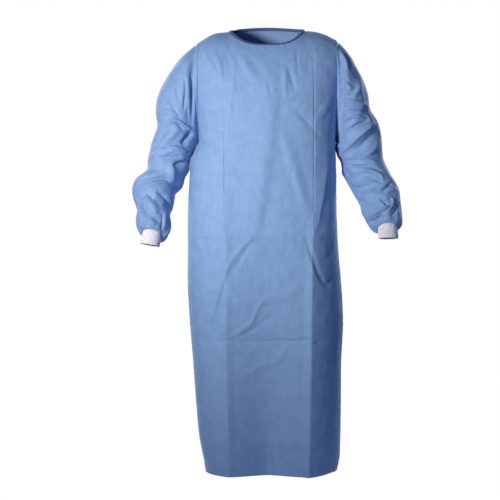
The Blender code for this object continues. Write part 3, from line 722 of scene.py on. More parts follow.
# %% The pressed edges of the upright fold lines
PRESS_COLUMNS = ("z", "right", "left")
PRESS_RISES = (
    (0.000, 0.0000, 0.0000),
    (-0.200, 0.0003, 0.0003),
    (-0.400, 0.0010, 0.0010),
    (-0.560, 0.0030, 0.0040),
    (-0.840, 0.0040, 0.0085),
    (-1.200, 0.0040, 0.0095),
)
PRESS_REACH = 0.15  # share across over which a pressed line falls away on its outer side
PRESS_REACH_INNER = 0.05
PRESS_POWER = 1.3
HOLLOW = 0.007  # how far the outer cell on the wearer's left is flattened
HOLLOW_TOP = -0.50
HOLLOW_RAMP = 0.18


def pressed_lines(across, level):
    """The sharp edge of each upright fold line: (1 - d)^1.3 on both sides of it, longer on the
    outside, less a half sine that flattens the outer cell on the wearer's left, low down."""
    from_line = np.abs(across - 0.5) - QUARTER
    reach = np.where(from_line > 0, PRESS_REACH, PRESS_REACH_INNER)
    tent = np.clip(1 - np.abs(from_line) / reach, 0, 1) ** PRESS_POWER
    right = read(PRESS_RISES, PRESS_COLUMNS, "right", level)
    left = read(PRESS_RISES, PRESS_COLUMNS, "left", level)
    outward = ramp(from_line, QUARTER)
    hollow = HOLLOW * np.sin(np.pi * outward) * ramp(HOLLOW_TOP - level, HOLLOW_RAMP)
    return tent * np.where(across < 0.5, right, left) - hollow * (across > 0.5)


# %% Puckers at the seams of a panel
PANEL_SPAN = 0.46  # cloth across a panel, seam to seam
NECK_SPREAD = 0.10
NECK_SWEEP = 0.16
NECK_PUCKERS = 1.25  # times half the neck's width, where its puckers end
ROWS_TO_METRES = 0.30  # cloth from the top edge to the underarm


def seam_puckers(points, across, down):
    """Ripples along the armhole and side seams, and round the neck's edge."""
    x, z = points[..., 0], points[..., 2]
    to_side = np.minimum(across, 1 - across) * PANEL_SPAN
    ripple = puckers(to_side, z, reach=0.014, spacing=0.013, height=0.0008)
    round_neck = np.clip(NECK_PUCKERS - np.abs(x) / NECK, 0, 1)
    radial = np.arctan2(x, NECK_SPREAD) * NECK_SWEEP
    neck_ripple = puckers(down * ROWS_TO_METRES, radial, reach=0.020, spacing=0.011, height=0.0009)
    return ripple + round_neck * neck_ripple


# %% The overlap behind
def overlap_offset(across):
    """How far the outer back panel has moved out, from nothing at its side seam to a layer."""
    share = ramp(LAYER_START - across, LAYER_RAMP)
    return LAYER * share * share * (3 - 2 * share)


# %% Moving a panel's points by its folds
CLOTH_SHOWN = 0.0006
FRONT_COLUMNS = 160
BACK_COLUMNS = 112
SIDE_HELD = 0.035  # share across over which the seams hold the folds down
EDGE_HELD = 0.012
TOP_HELD = 0.06  # share down over which the top edge does
TOP_EDGE_HELD = 0.02
LEAST_HELD = 0.15
ARMHOLE_FADE = 0.05
SEAM_GROOVE = 0.0008
SEAM_GROOVE_REACH = 0.020
PANEL_CRUMPLE = (  # waves, their length, their height and the width of a patch
    (14, 0.055, 0.0014, 0.33),
    (16, 0.020, 0.00065, 0.19),
    (12, 0.009, 0.00022, 0.12),
)


def panel(name, start, end, columns, back, outer_layer=False):
    """A panel between two places across the body, creased and rippled."""
    places = [place for place in (QUARTER, 1 - QUARTER) if start < place < end]
    steps = graded(start, end, columns, places, COLUMN_CROWDING_REACH, CROWDING)
    across, down = np.meshgrid(steps, ROWS)
    points = panel_points(across, down, back)
    outward = points * np.array([1.0, 1.0, 0.2])
    normals = grid_normals(points, outward)
    x, z = points[..., 0], points[..., 2]
    move = add_folds(x, z, BACK_FOLDS if back else FRONT_FOLDS) + pressed_lines(across, z)
    u, v = flat_map(points, False)
    for layer in PANEL_CRUMPLE:
        move = move + crumple(u, v, *layer)
    from_side = np.minimum(across, 1 - across)
    at_edge = ramp(from_side, EDGE_HELD)
    held = ramp(from_side, SIDE_HELD) * (LEAST_HELD + (1 - LEAST_HELD) * ramp(down, TOP_HELD))
    move = move * held + seam_puckers(points, across, down) * ramp(down, TOP_EDGE_HELD) * at_edge
    beside_armhole = ramp(1 + ARMHOLE_FADE - down, ARMHOLE_FADE)
    beside_seam = np.exp(-((from_side / SEAM_GROOVE_REACH) ** 2))
    move = move - SEAM_GROOVE * beside_armhole * at_edge * beside_seam
    if outer_layer:
        move = move + overlap_offset(across)
    points = points + normals * move[..., None]
    at_armholes = np.clip(points[..., 0], -ARMHOLE, ARMHOLE)
    points[..., 0] = np.where(down < 1, at_armholes, points[..., 0])
    piece = cloth_piece(name, points, outward, gown_cloth, CLOTH_SHOWN)
    print(name, "grid", points.shape[:2], "folds up to", round(float(np.abs(move).max()) * 1000, 1), "mm")
    return piece


# %% Make the three panels
front = panel("gown_front", 0.0, 1.0, FRONT_COLUMNS, back=False)
back_right = panel("gown_back_right", 0.0, 0.5 + OVERLAP, BACK_COLUMNS, back=True)
back_left = panel("gown_back_left", 0.5 - OVERLAP, 1.0, BACK_COLUMNS, back=True, outer_layer=True)

# %% [markdown]
# ## Sleeves
#
# A set-in sleeve starts at the armhole's outline and narrows to a gathered end over the knit cuff.
# It is a stack of ovals that pass through two points seen from the front. Sweeping one circle along
# an arm would be simpler, but a real sleeve bags at the elbow and flattens, so each oval has its
# own row of numbers.

# %% Rows of the sleeves: outer x and z, inner x and z, y, half depth, tilt in degrees
RIGHT_SLEEVE = (
    (-0.227, -0.066, -0.1895, -0.309, 0.000, 0.088, 0.0),
    (-0.252, -0.095, -0.193, -0.314, 0.000, 0.088, 0.0),
    (-0.282, -0.142, -0.197, -0.320, 0.000, 0.086, 0.0),
    (-0.300, -0.182, -0.201, -0.327, 0.000, 0.084, 0.0),
    (-0.304, -0.222, -0.206, -0.337, 0.000, 0.082, 0.0),
    (-0.300, -0.260, -0.2118, -0.353, 0.000, 0.080, 2.0),
    (-0.315, -0.306, -0.2140, -0.375, -0.001, 0.078, 5.0),
    (-0.324, -0.351, -0.2230, -0.400, -0.005, 0.075, 9.0),
    (-0.329, -0.386, -0.230, -0.424, -0.013, 0.073, 14.0),
    (-0.357, -0.413, -0.247, -0.440, -0.024, 0.074, 20.0),
    (-0.366, -0.439, -0.250, -0.460, -0.035, 0.070, 25.0),
    (-0.360, -0.465, -0.254, -0.482, -0.047, 0.065, 28.0),
    (-0.350, -0.490, -0.262, -0.500, -0.059, 0.061, 30.0),
    (-0.352, -0.515, -0.258, -0.524, -0.072, 0.060, 32.0),
    (-0.348, -0.537, -0.260, -0.548, -0.085, 0.053, 32.0),
    (-0.341, -0.552, -0.271, -0.562, -0.094, 0.043, 32.0),
    (-0.3352, -0.556, -0.2798, -0.5655, -0.0965, 0.0320, 32.0),
)
LEFT_SLEEVE = (
    (0.219, -0.058, 0.1893, -0.309, 0.000, 0.088, 0.0),
    (0.240, -0.092, 0.1910, -0.313, 0.000, 0.088, 0.0),
    (0.264, -0.138, 0.1930, -0.318, 0.000, 0.086, 0.0),
    (0.277, -0.178, 0.1955, -0.324, 0.000, 0.084, 0.0),
    (0.281, -0.213, 0.1980, -0.331, 0.000, 0.082, 0.0),
    (0.302, -0.247, 0.2005, -0.341, 0.000, 0.080, 0.0),
    (0.312, -0.284, 0.2020, -0.353, 0.000, 0.079, 2.0),
    (0.314, -0.322, 0.2035, -0.370, -0.003, 0.078, 5.0),
    (0.319, -0.358, 0.2040, -0.388, -0.010, 0.075, 9.0),
    (0.336, -0.400, 0.2170, -0.411, -0.020, 0.074, 16.0),
    (0.356, -0.439, 0.2330, -0.440, -0.034, 0.071, 23.0),
    (0.360, -0.474, 0.2490, -0.471, -0.048, 0.065, 28.0),
    (0.361, -0.501, 0.2550, -0.497, -0.062, 0.060, 31.0),
    (0.360, -0.522, 0.2660, -0.518, -0.077, 0.055, 32.0),
    (0.356, -0.536, 0.2790, -0.534, -0.087, 0.045, 32.0),
    (0.3480, -0.5430, 0.2920, -0.5430, -0.0925, 0.0320, 32.0),
)
GATHERS = 8
GATHER_RINGS = 5
GATHER_DEPTH = 0.0035
GATHER_FADE = 1.4  # rings before the end over which the gathers close again
ROUNDING_RINGS = 4  # rings over which the armhole's outline turns into an oval
FRONT_CROWDING = 0.35
print("rings in the tables:", len(RIGHT_SLEEVE), len(LEFT_SLEEVE))

# %% The sleeves' folds, seen from the front, with the same columns as the panels' folds
RIGHT_SLEEVE_FOLDS = (
    (-7.5, 6, 22, soft, ((-192, -55), (-194, -120), (-198, -200), (-204, -270))),
    (-5.5, 7, 7, crisp, ((-222, -135), (-219, -178), (-223, -228))),
    (3.5, 9, 9, soft, ((-210, -130), (-207, -200), (-205, -258))),
    (-3.0, 8, 8, soft, ((-262, -110), (-246, -160), (-236, -205))),
    (-3.5, 6, 9, crisp, ((-286, -176), (-252, -218), (-232, -246))),
    (3.5, 14, 10, soft, ((-292, -225), (-262, -232), (-240, -242))),
    (6.0, 6, 8, crisp, ((-270, -258), (-254, -246), (-240, -251), (-219, -266), (-205, -272))),
    (-5.5, 6, 9, crisp, ((-262, -264), (-243, -258), (-222, -276))),
    (-6.5, 16, 18, soft, ((-262, -266), (-288, -288), (-306, -340))),
    (6.0, 15, 17, soft, ((-236, -272), (-258, -296), (-286, -318), (-309, -354))),
    (-9.0, 12, 10, soft, ((-229, -318), (-215, -298), (-202, -280))),
    (5.0, 8, 10, crisp, ((-300, -322), (-258, -322), (-206, -338))),
    (-4.5, 6, 7, crisp, ((-262, -315), (-232, -322), (-205, -330))),
    (5.0, 10, 8, crisp, ((-304, -358), (-280, -344), (-250, -334))),
    (-4.5, 8, 8, crisp, ((-292, -352), (-262, -352), (-230, -346))),
    (4.0, 8, 8, crisp, ((-290, -366), (-246, -356), (-205, -348))),
    (-8.5, 8, 22, crisp, ((-256, -372), (-232, -363), (-203, -356))),
    (5.5, 12, 18, soft, ((-254, -362), (-256, -392), (-252, -420))),
    (-8.0, 15, 8, crisp, ((-362, -432), (-330, -413), (-280, -407), (-262, -412))),
    (6.0, 7, 14, crisp, ((-350, -440), (-300, -419), (-262, -420), (-246, -428))),
    (-7.0, 10, 14, crisp, ((-294, -442), (-273, -455), (-256, -482))),
    (-5.0, 12, 12, soft, ((-330, -440), (-312, -452), (-300, -462))),
    (5.0, 18, 16, soft, ((-330, -458), (-308, -480), (-290, -502))),
    (6.0, 7, 8, crisp, ((-356, -452), (-336, -494), (-308, -523), (-280, -537))),
    (-4.5, 7, 7, crisp, ((-345, -452), (-326, -490), (-300, -515))),
    (-4.0, 10, 10, soft, ((-308, -500), (-296, -514), (-284, -522))),
    (-7.0, 9, 16, crisp, ((-276, -500), (-276, -535), (-282, -572))),
    (4.0, 8, 8, crisp, ((-345, -532), (-318, -540), (-286, -556))),
    (-3.5, 8, 8, soft, ((-340, -512), (-322, -532), (-306, -545))),
)
LEFT_SLEEVE_FOLDS = (
    (-8.0, 18, 6, soft, ((192, -60), (194, -120), (196, -200), (196, -300))),
    (5.0, 8, 8, crisp, ((196, -62), (210, -96), (214, -120))),
    (-4.0, 9, 10, crisp, ((200, -50), (219, -86), (226, -120))),
    (-6.0, 8, 8, crisp, ((187, -160), (197, -144), (208, -128))),
    (5.5, 7, 8, crisp, ((194, -130), (204, -150), (226, -166))),
    (-4.5, 8, 8, soft, ((202, -176), (226, -182), (240, -160))),
    (4.0, 16, 14, soft, ((228, -192), (248, -164), (252, -130))),
    (-4.0, 14, 14, soft, ((262, -140), (270, -180), (272, -200))),
    (6.0, 12, 7, crisp, ((184, -200), (226, -202), (282, -214))),
    (-6.0, 7, 7, crisp, ((182, -228), (214, -216), (276, -226))),
    (4.5, 7, 7, crisp, ((186, -246), (206, -232), (236, -226))),
    (6.0, 10, 8, crisp, ((188, -262), (226, -240), (272, -246))),
    (-6.5, 6, 10, crisp, ((192, -290), (236, -264), (268, -252))),
    (5.0, 6, 6, crisp, ((258, -236), (270, -244), (276, -256))),
    (8.0, 24, 10, crisp, ((200, -350), (238, -302), (270, -276), (292, -252))),
    (-7.5, 14, 18, soft, ((226, -344), (262, -308), (300, -278))),
    (5.0, 12, 12, soft, ((248, -352), (282, -336), (306, -300))),
    (4.5, 12, 8, crisp, ((206, -352), (250, -352), (298, -366))),
    (-7.0, 9, 9, crisp, ((204, -366), (236, -377), (276, -373), (310, -390))),
    (-7.0, 12, 12, soft, ((202, -372), (212, -392), (226, -412))),
    (5.5, 9, 9, crisp, ((232, -396), (268, -385), (302, -396), (310, -416))),
    (-5.5, 8, 8, crisp, ((248, -414), (268, -406), (306, -418))),
    (4.5, 10, 10, crisp, ((226, -420), (252, -424), (290, -412))),
    (-8.0, 9, 11, crisp, ((280, -438), (304, -445), (336, -416))),
    (5.0, 11, 12, crisp, ((248, -463), (268, -444), (288, -428))),
    (5.0, 12, 12, soft, ((312, -444), (330, -436), (346, -442))),
    (-6.0, 8, 8, soft, ((296, -462), (314, -470), (318, -486))),
    (6.0, 7, 7, crisp, ((308, -466), (326, -456), (334, -475), (318, -498))),
    (-5.5, 8, 8, crisp, ((330, -506), (344, -488), (350, -470))),
    (7.0, 11, 7, crisp, ((260, -516), (298, -497), (334, -474))),
    (-8.0, 10, 12, soft, ((262, -528), (284, -524), (304, -508))),
    (3.5, 8, 8, crisp, ((292, -532), (318, -514), (336, -520))),
    (-3.0, 10, 10, soft, ((262, -470), (272, -494), (272, -510))),
)


# %% A sleeve as a surface: turn goes round it, along counts its rows
def sleeve_points(table, side, turns, rings):
    """Each point is middle + wave (cos(turn) half + rounding depth raised), where half, middle and
    depth are read smoothly along the table, after a first row made from the armhole's outline.
    The turns lie closer together in front, where the folds are sharpest."""
    turn = 2 * np.pi * np.arange(turns) / turns
    turn = turn + FRONT_CROWDING * np.cos(turn)
    top = float(shoulder(side * ARMHOLE))
    height = (top + UNDERARM) / 2 + (top - UNDERARM) / 2 * np.cos(turn)
    edge = side * ARMHOLE * np.ones_like(turn)
    front_y = -(depth_at(edge, height, False) + SEAM / 2)
    rear_y = depth_at(edge, height, True) + SEAM / 2
    first_y = np.where(np.sin(turn) > SMALL, front_y, np.where(np.sin(turn) < -SMALL, rear_y, 0))
    own = np.abs(first_y) / np.abs(first_y).max()
    plane = side * (ARMHOLE + SEAM)
    first = (plane, top, plane, UNDERARM, 0.0, np.abs(first_y).max(), 0.0)
    rows = np.array([first, *table])
    numbered = np.column_stack([np.arange(len(rows)), rows])
    columns = ("ring", "outer_x", "outer_z", "inner_x", "inner_z", "y", "depth", "tilt")
    along = np.linspace(0, len(rows) - 1, rings)
    value = {name: read(numbered.tolist(), columns, name, along)[:, None] for name in columns[1:]}
    share = ramp(along, ROUNDING_RINGS)[:, None]
    rounding = np.sign(np.sin(turn)) * ((1 - share) * own + share * np.abs(np.sin(turn)))
    last = len(rows) - 1
    growth = ramp(along - (last - GATHER_RINGS), GATHER_RINGS)
    growth = (growth * ramp(last - along, GATHER_FADE))[:, None]
    wave = 1 + growth * GATHER_DEPTH / value["depth"] * np.cos(GATHERS * turn)
    tilt = np.radians(value["tilt"])
    sideways = np.cos(turn) * wave
    raised = rounding * value["depth"] * wave
    outer_x, outer_z, inner_x, inner_z = (value[name] for name in columns[1:5])
    x = (outer_x + inner_x) / 2 + sideways * (outer_x - inner_x) / 2
    z = (outer_z + inner_z) / 2 + sideways * (outer_z - inner_z) / 2
    y = value["y"] - raised * np.cos(tilt)
    z = z + raised * np.sin(tilt)
    return np.stack([x, y, z], -1), along, turn


# %% Keeping a sleeve clear of the body and of the spaces inside it
BODY_CLEARANCE = 0.0015
CLEARANCE_RAMP = 0.006
OPENING_CLEARANCE = 0.0010
PUSHES = 4


def beside_the_body(points, side):
    """The sleeve's points, none nearer than the armhole's plane, or than the body's side plus a
    clearance that grows over the first millimetres under the underarm."""
    z = points[..., 2]
    growing = ramp(UNDERARM - z, CLEARANCE_RAMP)
    body = half_width(z, float(side)) + SEAM + BODY_CLEARANCE * growing
    nearest = np.where(z < UNDERARM, body, ARMHOLE + SEAM)
    points[..., 0] = side * np.maximum(side * points[..., 0], nearest)
    return points


def out_of_openings(points, normals):
    """Points that come into a clear space named in the record, or within a millimetre of it, are
    moved out along their normals by as much as they are inside."""
    for opening in frame["record"]["physics"]["openings"]:
        low, high = np.array(opening["box_m"])
        for _ in range(PUSHES):
            depth = np.minimum(points - low, high - points).min(axis=-1) + OPENING_CLEARANCE
            points = points + normals * np.clip(depth, 0, None)[..., None]
    return points


# %% How a sleeve's folds and gathers are laid; a ring here is a row of its table
SLEEVE_TURNS = 168
SLEEVE_RINGS = 250
RING_STEP = 0.031  # cloth from one ring to the next
SLEEVE_FOLD_SCALE = 1.4
DEEPEST_FOLD = -0.0120
HIGHEST_FOLD = 0.0100
REAR_FOLD_LIMIT = 0.0060
REAR_SHIFT = (0.008, -0.014)
FACING = 1.6  # how quickly the folds fade from the front, or the back, to the sides
SLEEVE_CUT = 0.16  # cloth from a sleeve's middle line to its edge, when it lies flat
SLEEVE_CRUMPLE = (  # shift along the cut, waves, their length, their height, width of a patch
    (0.3, 14, 0.050, 0.0014, 0.30),
    (-0.3, 14, 0.021, 0.0006, 0.17),
)
START_HELD = 0.45  # rings over which the armhole seam holds the cloth
PUCKERS_FROM = 0.3
GROOVE_FROM = 0.12
END_HELD = 0.7  # rings over which the gathered end does
FOLDS_END = 1.1
PLEATS_FROM = 2.6
PLEAT_HEIGHT = 0.0005
SLEEVE_GROOVE = 0.0018
GROOVE_PLACE = 0.006
GROOVE_REACH = 0.005
ARMPIT = -0.307
ARMPIT_RAMP = 0.007
BULGE_RAMP = 0.020
BULGE_FACING = 1.4
TUCK_HEIGHT = -0.3095
TUCK_REACH = 0.004
TUCK_SHARE = 0.2
TUCK_RINGS = 4


# %% Make the sleeves
def sleeve(name, table, side, folds, bulge, bulge_end):
    """A sleeve, creased by its folds in front, by the same ones shifted behind, and gathered. Under
    the armpit, down to bulge_end, it bulges towards the body, which it rests against."""
    points, rings, turn = sleeve_points(table, side, SLEEVE_TURNS, SLEEVE_RINGS)
    outward = points - points.mean(axis=1, keepdims=True)
    normals = grid_normals(points, outward, around=True)
    x, z = points[..., 0], points[..., 2]
    along = rings[:, None]
    to_end = rings[-1] - along
    in_front = np.clip(-normals[..., 1] * FACING, 0, 1)
    behind = np.clip(normals[..., 1] * FACING, 0, 1)
    move = np.clip(add_folds(x, z, folds) * SLEEVE_FOLD_SCALE, DEEPEST_FOLD, HIGHEST_FOLD) * in_front
    rear_folds = add_folds(x + REAR_SHIFT[0] * side, z + REAR_SHIFT[1], folds) * SLEEVE_FOLD_SCALE
    move = move + np.clip(rear_folds, -REAR_FOLD_LIMIT, REAR_FOLD_LIMIT) * behind
    move = move * ramp(to_end, FOLDS_END)
    angle = turn[None] + 0 * x
    length = along * RING_STEP + 0 * x
    for shift, *layer in SLEEVE_CRUMPLE:
        move = move + crumple(np.sin(angle) * SLEEVE_CUT + shift * side, length, *layer)
    closing = ramp(to_end, END_HELD)
    move = move * ramp(along, START_HELD) * (0.35 + 0.65 * closing)
    ripple = puckers(length, np.cos(angle) * 0.14, reach=0.016, spacing=0.012, height=0.0010)
    move = move + ripple * ramp(along, PUCKERS_FROM)
    pleats = 0.6 * np.sin(23 * angle + 1.1 * np.sin(3 * angle)) + 0.4 * np.sin(37 * angle + 2.0)
    move = move + PLEAT_HEIGHT * pleats * ramp(PLEATS_FROM - to_end, PLEATS_FROM) * closing
    groove = np.exp(-(((length - GROOVE_PLACE) / GROOVE_REACH) ** 2)) * ramp(along, GROOVE_FROM)
    move = move - SLEEVE_GROOVE * groove
    beside_body = np.clip(-side * normals[..., 0] * BULGE_FACING, 0, 1) ** 2
    window = ramp(ARMPIT - z, ARMPIT_RAMP) * ramp(z - bulge_end, BULGE_RAMP)
    move = move + bulge * beside_body * window
    points = points + normals * move[..., None]
    tucked = np.exp(-(((z - TUCK_HEIGHT) / TUCK_REACH) ** 2)) * ramp(along, PUCKERS_FROM)
    points[..., 0] -= side * TUCK_SHARE * bulge * tucked * (along < TUCK_RINGS)
    points = out_of_openings(beside_the_body(points, side), normals)
    piece = cloth_piece(name, points, outward, gown_cloth, CLOTH_SHOWN, around=True)
    print(name, "grid", points.shape[:2], "folds up to", round(float(np.abs(move).max()) * 1000, 1), "mm")
    return piece


sleeve_right = sleeve(
    "gown_sleeve_right", RIGHT_SLEEVE, -1, RIGHT_SLEEVE_FOLDS, bulge=0.0031, bulge_end=-0.400
)
sleeve_left = sleeve(
    "gown_sleeve_left", LEFT_SLEEVE, 1, LEFT_SLEEVE_FOLDS, bulge=0.0085, bulge_end=-0.362
)

# %% [markdown]
# ## Knit cuffs
#
# The cuff is a short tube of stretch rib knit, sewn inside the gathered end of the sleeve. Ribs
# could be a bump, but they are wide enough to show on the open edge, so they are real: a wave
# round the tube, as deep as a strand of the yarn.

# %% Measures of a cuff
CUFF_HIDDEN = 0.020
CUFF_SHOWN = 0.030
CUFF_HALF_WIDTH = 0.0262
CUFF_HALF_DEPTH = 0.0302
CUFF_FLARE = 0.03
CUFF_END_TILT = 4  # degrees that the open end's front is raised
KNIT = 0.0022
RIBS = 44
RIB_DEPTH = 0.0005
POINTS_ON_A_RIB = 6
CUFF_STEPS = 46
ROLL = 0.0012
ROLL_REACH = 0.004
SLACK = 0.0007


def cuff(name, table):
    """The tube is middle + step down + rim; its rim is an oval that turns from the sleeve's tilt to
    nearly level at the open end, a little wavy, and it rolls in over the last millimetres."""
    outer_x, outer_z, inner_x, inner_z, y, _, tilt = table[-1]
    middle = np.array([(outer_x + inner_x) / 2, y, (outer_z + inner_z) / 2])
    across = unit(np.array([outer_x - inner_x, 0.0, outer_z - inner_z]))
    raised = np.array([0, -np.cos(np.radians(tilt)), np.sin(np.radians(tilt))])
    down = unit(np.cross(raised, across))
    down = down * (-1 if down[2] > 0 else 1)
    count = RIBS * POINTS_ON_A_RIB
    turn = 2 * np.pi * np.arange(count) / count
    step = np.linspace(-CUFF_HIDDEN, CUFF_SHOWN, CUFF_STEPS)[:, None]
    shown = ramp(step, CUFF_SHOWN)
    flare = 1 + CUFF_FLARE * shown
    roll = ROLL * ramp(step - CUFF_SHOWN + ROLL_REACH, ROLL_REACH) ** 2
    slack = SLACK * np.sin(3 * turn + 60 * step) * np.clip(step / CUFF_SHOWN + 0.3, 0, 1)
    grow = flare - roll / CUFF_HALF_WIDTH
    ribs = RIB_DEPTH * (np.cos(RIBS * turn) - 1) + slack
    lift = np.radians(tilt + (CUFF_END_TILT - tilt) * shown)
    front_way = np.stack([0 * lift, -np.cos(lift), np.sin(lift)], -1)
    sideways = np.cos(turn)[:, None] * across * CUFF_HALF_WIDTH
    rim = sideways + np.sin(turn)[:, None] * front_way * CUFF_HALF_DEPTH
    points = middle + down * step[..., None] + rim * grow[..., None] + unit(rim) * ribs[..., None]
    outward = unit(rim)
    piece = cloth_piece(name, points, outward, cuff_knit, KNIT, around=True)
    print(name, RIBS, "ribs")
    return piece


cuff_right = cuff("knit_cuff_right", RIGHT_SLEEVE)
cuff_left = cuff("knit_cuff_left", LEFT_SLEEVE)

# %% [markdown]
# ## Neck binding
#
# A narrow strip of the same cloth is folded over the neck's edge and stitched. Its colour is made
# much darker than the gown's, as painted shade for the shadow along the edge. It could be a curve
# with a bevel, but its section is a flat oval that stands steeply and leans inwards, so a ring of
# points is carried along the edge instead, and both ends close on themselves.

# %% The way the binding stands
BINDING_WIDTH = 0.008
BINDING_THICK = 0.0021
BINDING_SLOPE = 48
BINDING_SLOPE_CHANGE = 14
BINDING_TURN = 0.07
BINDING_STATIONS = 420
BINDING_SMOOTHING = 26
BINDING_SECTION = 24
BINDING_TUCKS = 0.10
NECK_STATIONS = 90
CLOTH = 0.0015


def neck_direction(points):
    """Inwards, and steeper behind."""
    inwards = unit(np.stack([-points[..., 0], -points[..., 1], np.zeros_like(points[..., 0])], -1))
    behind = np.clip(points[..., 1:2] / BINDING_TURN, -1, 1)
    slope = np.radians(BINDING_SLOPE + BINDING_SLOPE_CHANGE * behind)
    return inwards * np.cos(slope) + np.array([0, 0, 1.0]) * np.sin(slope)


def neck_run(start, end, back, outer_layer):
    """The neck's edge along one panel, from the panel's right to its left."""
    across = np.linspace(start, end, NECK_STATIONS)
    down = np.array([0.0, 0.004])
    grid = panel_points(*np.meshgrid(across, down), back)
    normals = grid_normals(grid, grid * np.array([1, 1, 0]) + np.array([0, 0, 1e-4]))[0]
    edge = grid[0]
    if outer_layer:
        edge = edge + normals * overlap_offset(across)[:, None]
    inside = np.abs(edge[:, 0]) < NECK + 100 * SMALL
    return edge[inside]


# %% Make the binding
def binding():
    """The edge is taken along the inner back panel, the front and the outer back panel, and read
    again at even steps of its length. Its section is a superellipse in thickness and width."""
    inner = neck_run(QUARTER, 0.5 + OVERLAP, back=True, outer_layer=False)[::-1]
    middle = neck_run(QUARTER, 1 - QUARTER, back=False, outer_layer=False)
    outer = neck_run(0.5 - OVERLAP, 1 - QUARTER, back=True, outer_layer=True)[::-1]
    edge = np.concatenate([inner, middle, outer])
    length = np.linalg.norm(np.diff(edge, axis=0), axis=1)
    keep = np.append(True, length > 2 * SEAM)
    edge = edge[keep]
    run = np.concatenate([[0], np.cumsum(np.linalg.norm(np.diff(edge, axis=0), axis=1))])
    even = np.linspace(0, run[-1], BINDING_STATIONS)
    edge = np.stack([np.interp(even, run, edge[:, axis]) for axis in range(3)], -1)
    for _ in range(BINDING_SMOOTHING):
        edge[1:-1] = (edge[:-2] + 2 * edge[1:-1] + edge[2:]) / 4
    up = neck_direction(edge)
    tangent = unit(np.gradient(edge, axis=0))
    facing = unit(np.cross(tangent, up))
    facing = facing * np.where(np.sum(facing * edge, axis=-1, keepdims=True) < 0, -1, 1)
    centre = edge - facing * CLOTH / 2 + up * (SEAM + BINDING_WIDTH / 2)
    turn = 2 * np.pi * np.arange(BINDING_SECTION) / BINDING_SECTION
    flat = np.sign(np.cos(turn)) * np.abs(np.cos(turn)) ** 0.5
    wide = np.sign(np.sin(turn)) * np.abs(np.sin(turn)) ** 0.8
    station = np.arange(BINDING_STATIONS)
    ends = ramp(np.minimum(station, station[::-1]), 2.0)[:, None]
    tuck = 1 + BINDING_TUCKS * np.sin(2 * np.pi * even / 0.0115 + np.sin(even * 60))[:, None]
    section = (
        facing[:, None] * (flat * BINDING_THICK / 2 * ends * tuck)[..., None]
        + up[:, None] * (wide * BINDING_WIDTH / 2 * ends)[..., None]
    )
    points = centre[:, None] + section
    outward = section + facing[:, None] * 1e-6
    piece = cloth_piece("binding_neck", points, outward, binding_cloth, 0, around=True)
    print("binding:", round(float(even[-1]), 3), "m long")
    return piece


neck_binding = binding()

# %% [markdown]
# ## Ties, knot and tab
#
# Behind, a tie from each side seam meets its fellow in a flat knot at the waist, with two short
# ends that hang down, and a tab of hook and loop tape shuts the neck. Each is a folded and stitched
# strip that lies on the back panel, so it is made from the panel's own surface, moved out.

# %% Measures of the closure
TIE_HEIGHT = -0.456
TIE_WIDTH = 0.024
TIE_THICK = 0.0016
TIE_LIFT = 0.0005
TIE_TAIL = 0.14
TIE_TAIL_SHARE = 0.7
TIE_INSET = 0.035
TIE_RAMP = 0.10
TAIL_START = 0.028
TAIL_SPREAD = 0.014
KNOT_SIZE = (0.034, 0.018, 0.030)
KNOT_SPAN = 0.003
KNOT_CLEAR = 0.0005
KNOT_TURNS = 96
KNOT_RINGS = 64
STRIP_SECTION = 28
STRIP_CLEAR = 0.0011  # over the folds of the panel beneath
STRIP_CURL = 0.0008
SLOPE_STEP = 0.004
TAB_SPAN = 0.10
TAB_INSET = 0.012
TAB_WIDTH = 0.026
TAB_HEIGHT = -0.0435


def tie_lift(across):
    """How far a strip stands off the inner panel: the outer layer's offset, from a little before
    that layer begins, and a small gap."""
    share = np.clip((across - (0.5 - OVERLAP)) / TIE_RAMP + 1, 0, 1)
    return overlap_offset(across) * share + TIE_LIFT


# %% A strip that lies on the back
def back_strip(name, across, heights, width, material, ripple=0.0):
    """A closed flat section, a superellipse, is carried along a path on the back: the points of
    the panel, moved out along its normals, with its edges square to the path."""
    down = np.where(heights < UNDERARM, down_of(heights), heights / UNDERARM)
    middle = panel_points(across, down, True)
    beside = panel_points(across + SLOPE_STEP, down, True) - panel_points(across - SLOPE_STEP, down, True)
    below = panel_points(across, down + SLOPE_STEP, True) - panel_points(across, down - SLOPE_STEP, True)
    normals = unit(np.cross(beside, below))
    normals *= np.sign(normals[:, 1:2])
    sideways = unit(np.cross(unit(np.gradient(middle, axis=0)), normals))
    shift = add_folds(middle[:, 0], middle[:, 2], BACK_FOLDS)
    share = np.linspace(0, 1, len(across))
    lift = tie_lift(across) + np.clip(shift, 0, None) + TIE_THICK / 2 + STRIP_CLEAR
    sway = ripple * np.sin(2 * np.pi * (2.3 * share + 0.2)) * np.sin(np.pi * share)
    middle = middle + normals * lift[:, None] + sideways * sway[:, None]
    turn = 2 * np.pi * np.arange(STRIP_SECTION) / STRIP_SECTION
    wide = np.sign(np.cos(turn)) * np.abs(np.cos(turn)) ** 0.35
    flat = np.sign(np.sin(turn)) * np.abs(np.sin(turn)) ** 0.7
    ends = np.clip(np.minimum(share, 1 - share) * len(across) / 1.5, 0, 1)[:, None]
    curl = STRIP_CURL * np.sin(2 * np.pi * 5 * share + 0.6)[:, None] * wide
    half_wide = wide * width / 2 * (0.9 + 0.1 * ends)
    half_thick = (flat * TIE_THICK / 2 + np.abs(curl)) * ends
    section = sideways[:, None] * half_wide[..., None] * np.sign(ends)[..., None]
    section = section + normals[:, None] * half_thick[..., None]
    points = middle[:, None] + section
    outward = section + normals[:, None] * 1e-6
    piece = cloth_piece(name, points, outward, material, 0, around=True)
    print(name, "lies on the back over", round(float(np.ptp(middle[:, 0])), 3), "m")
    return piece


# %% Make the strips
TIE_STATIONS = 90
TAIL_STATIONS = 60
TAB_STATIONS = 50
TIE_RIPPLE = 0.0012
TAIL_RIPPLE = 0.0025


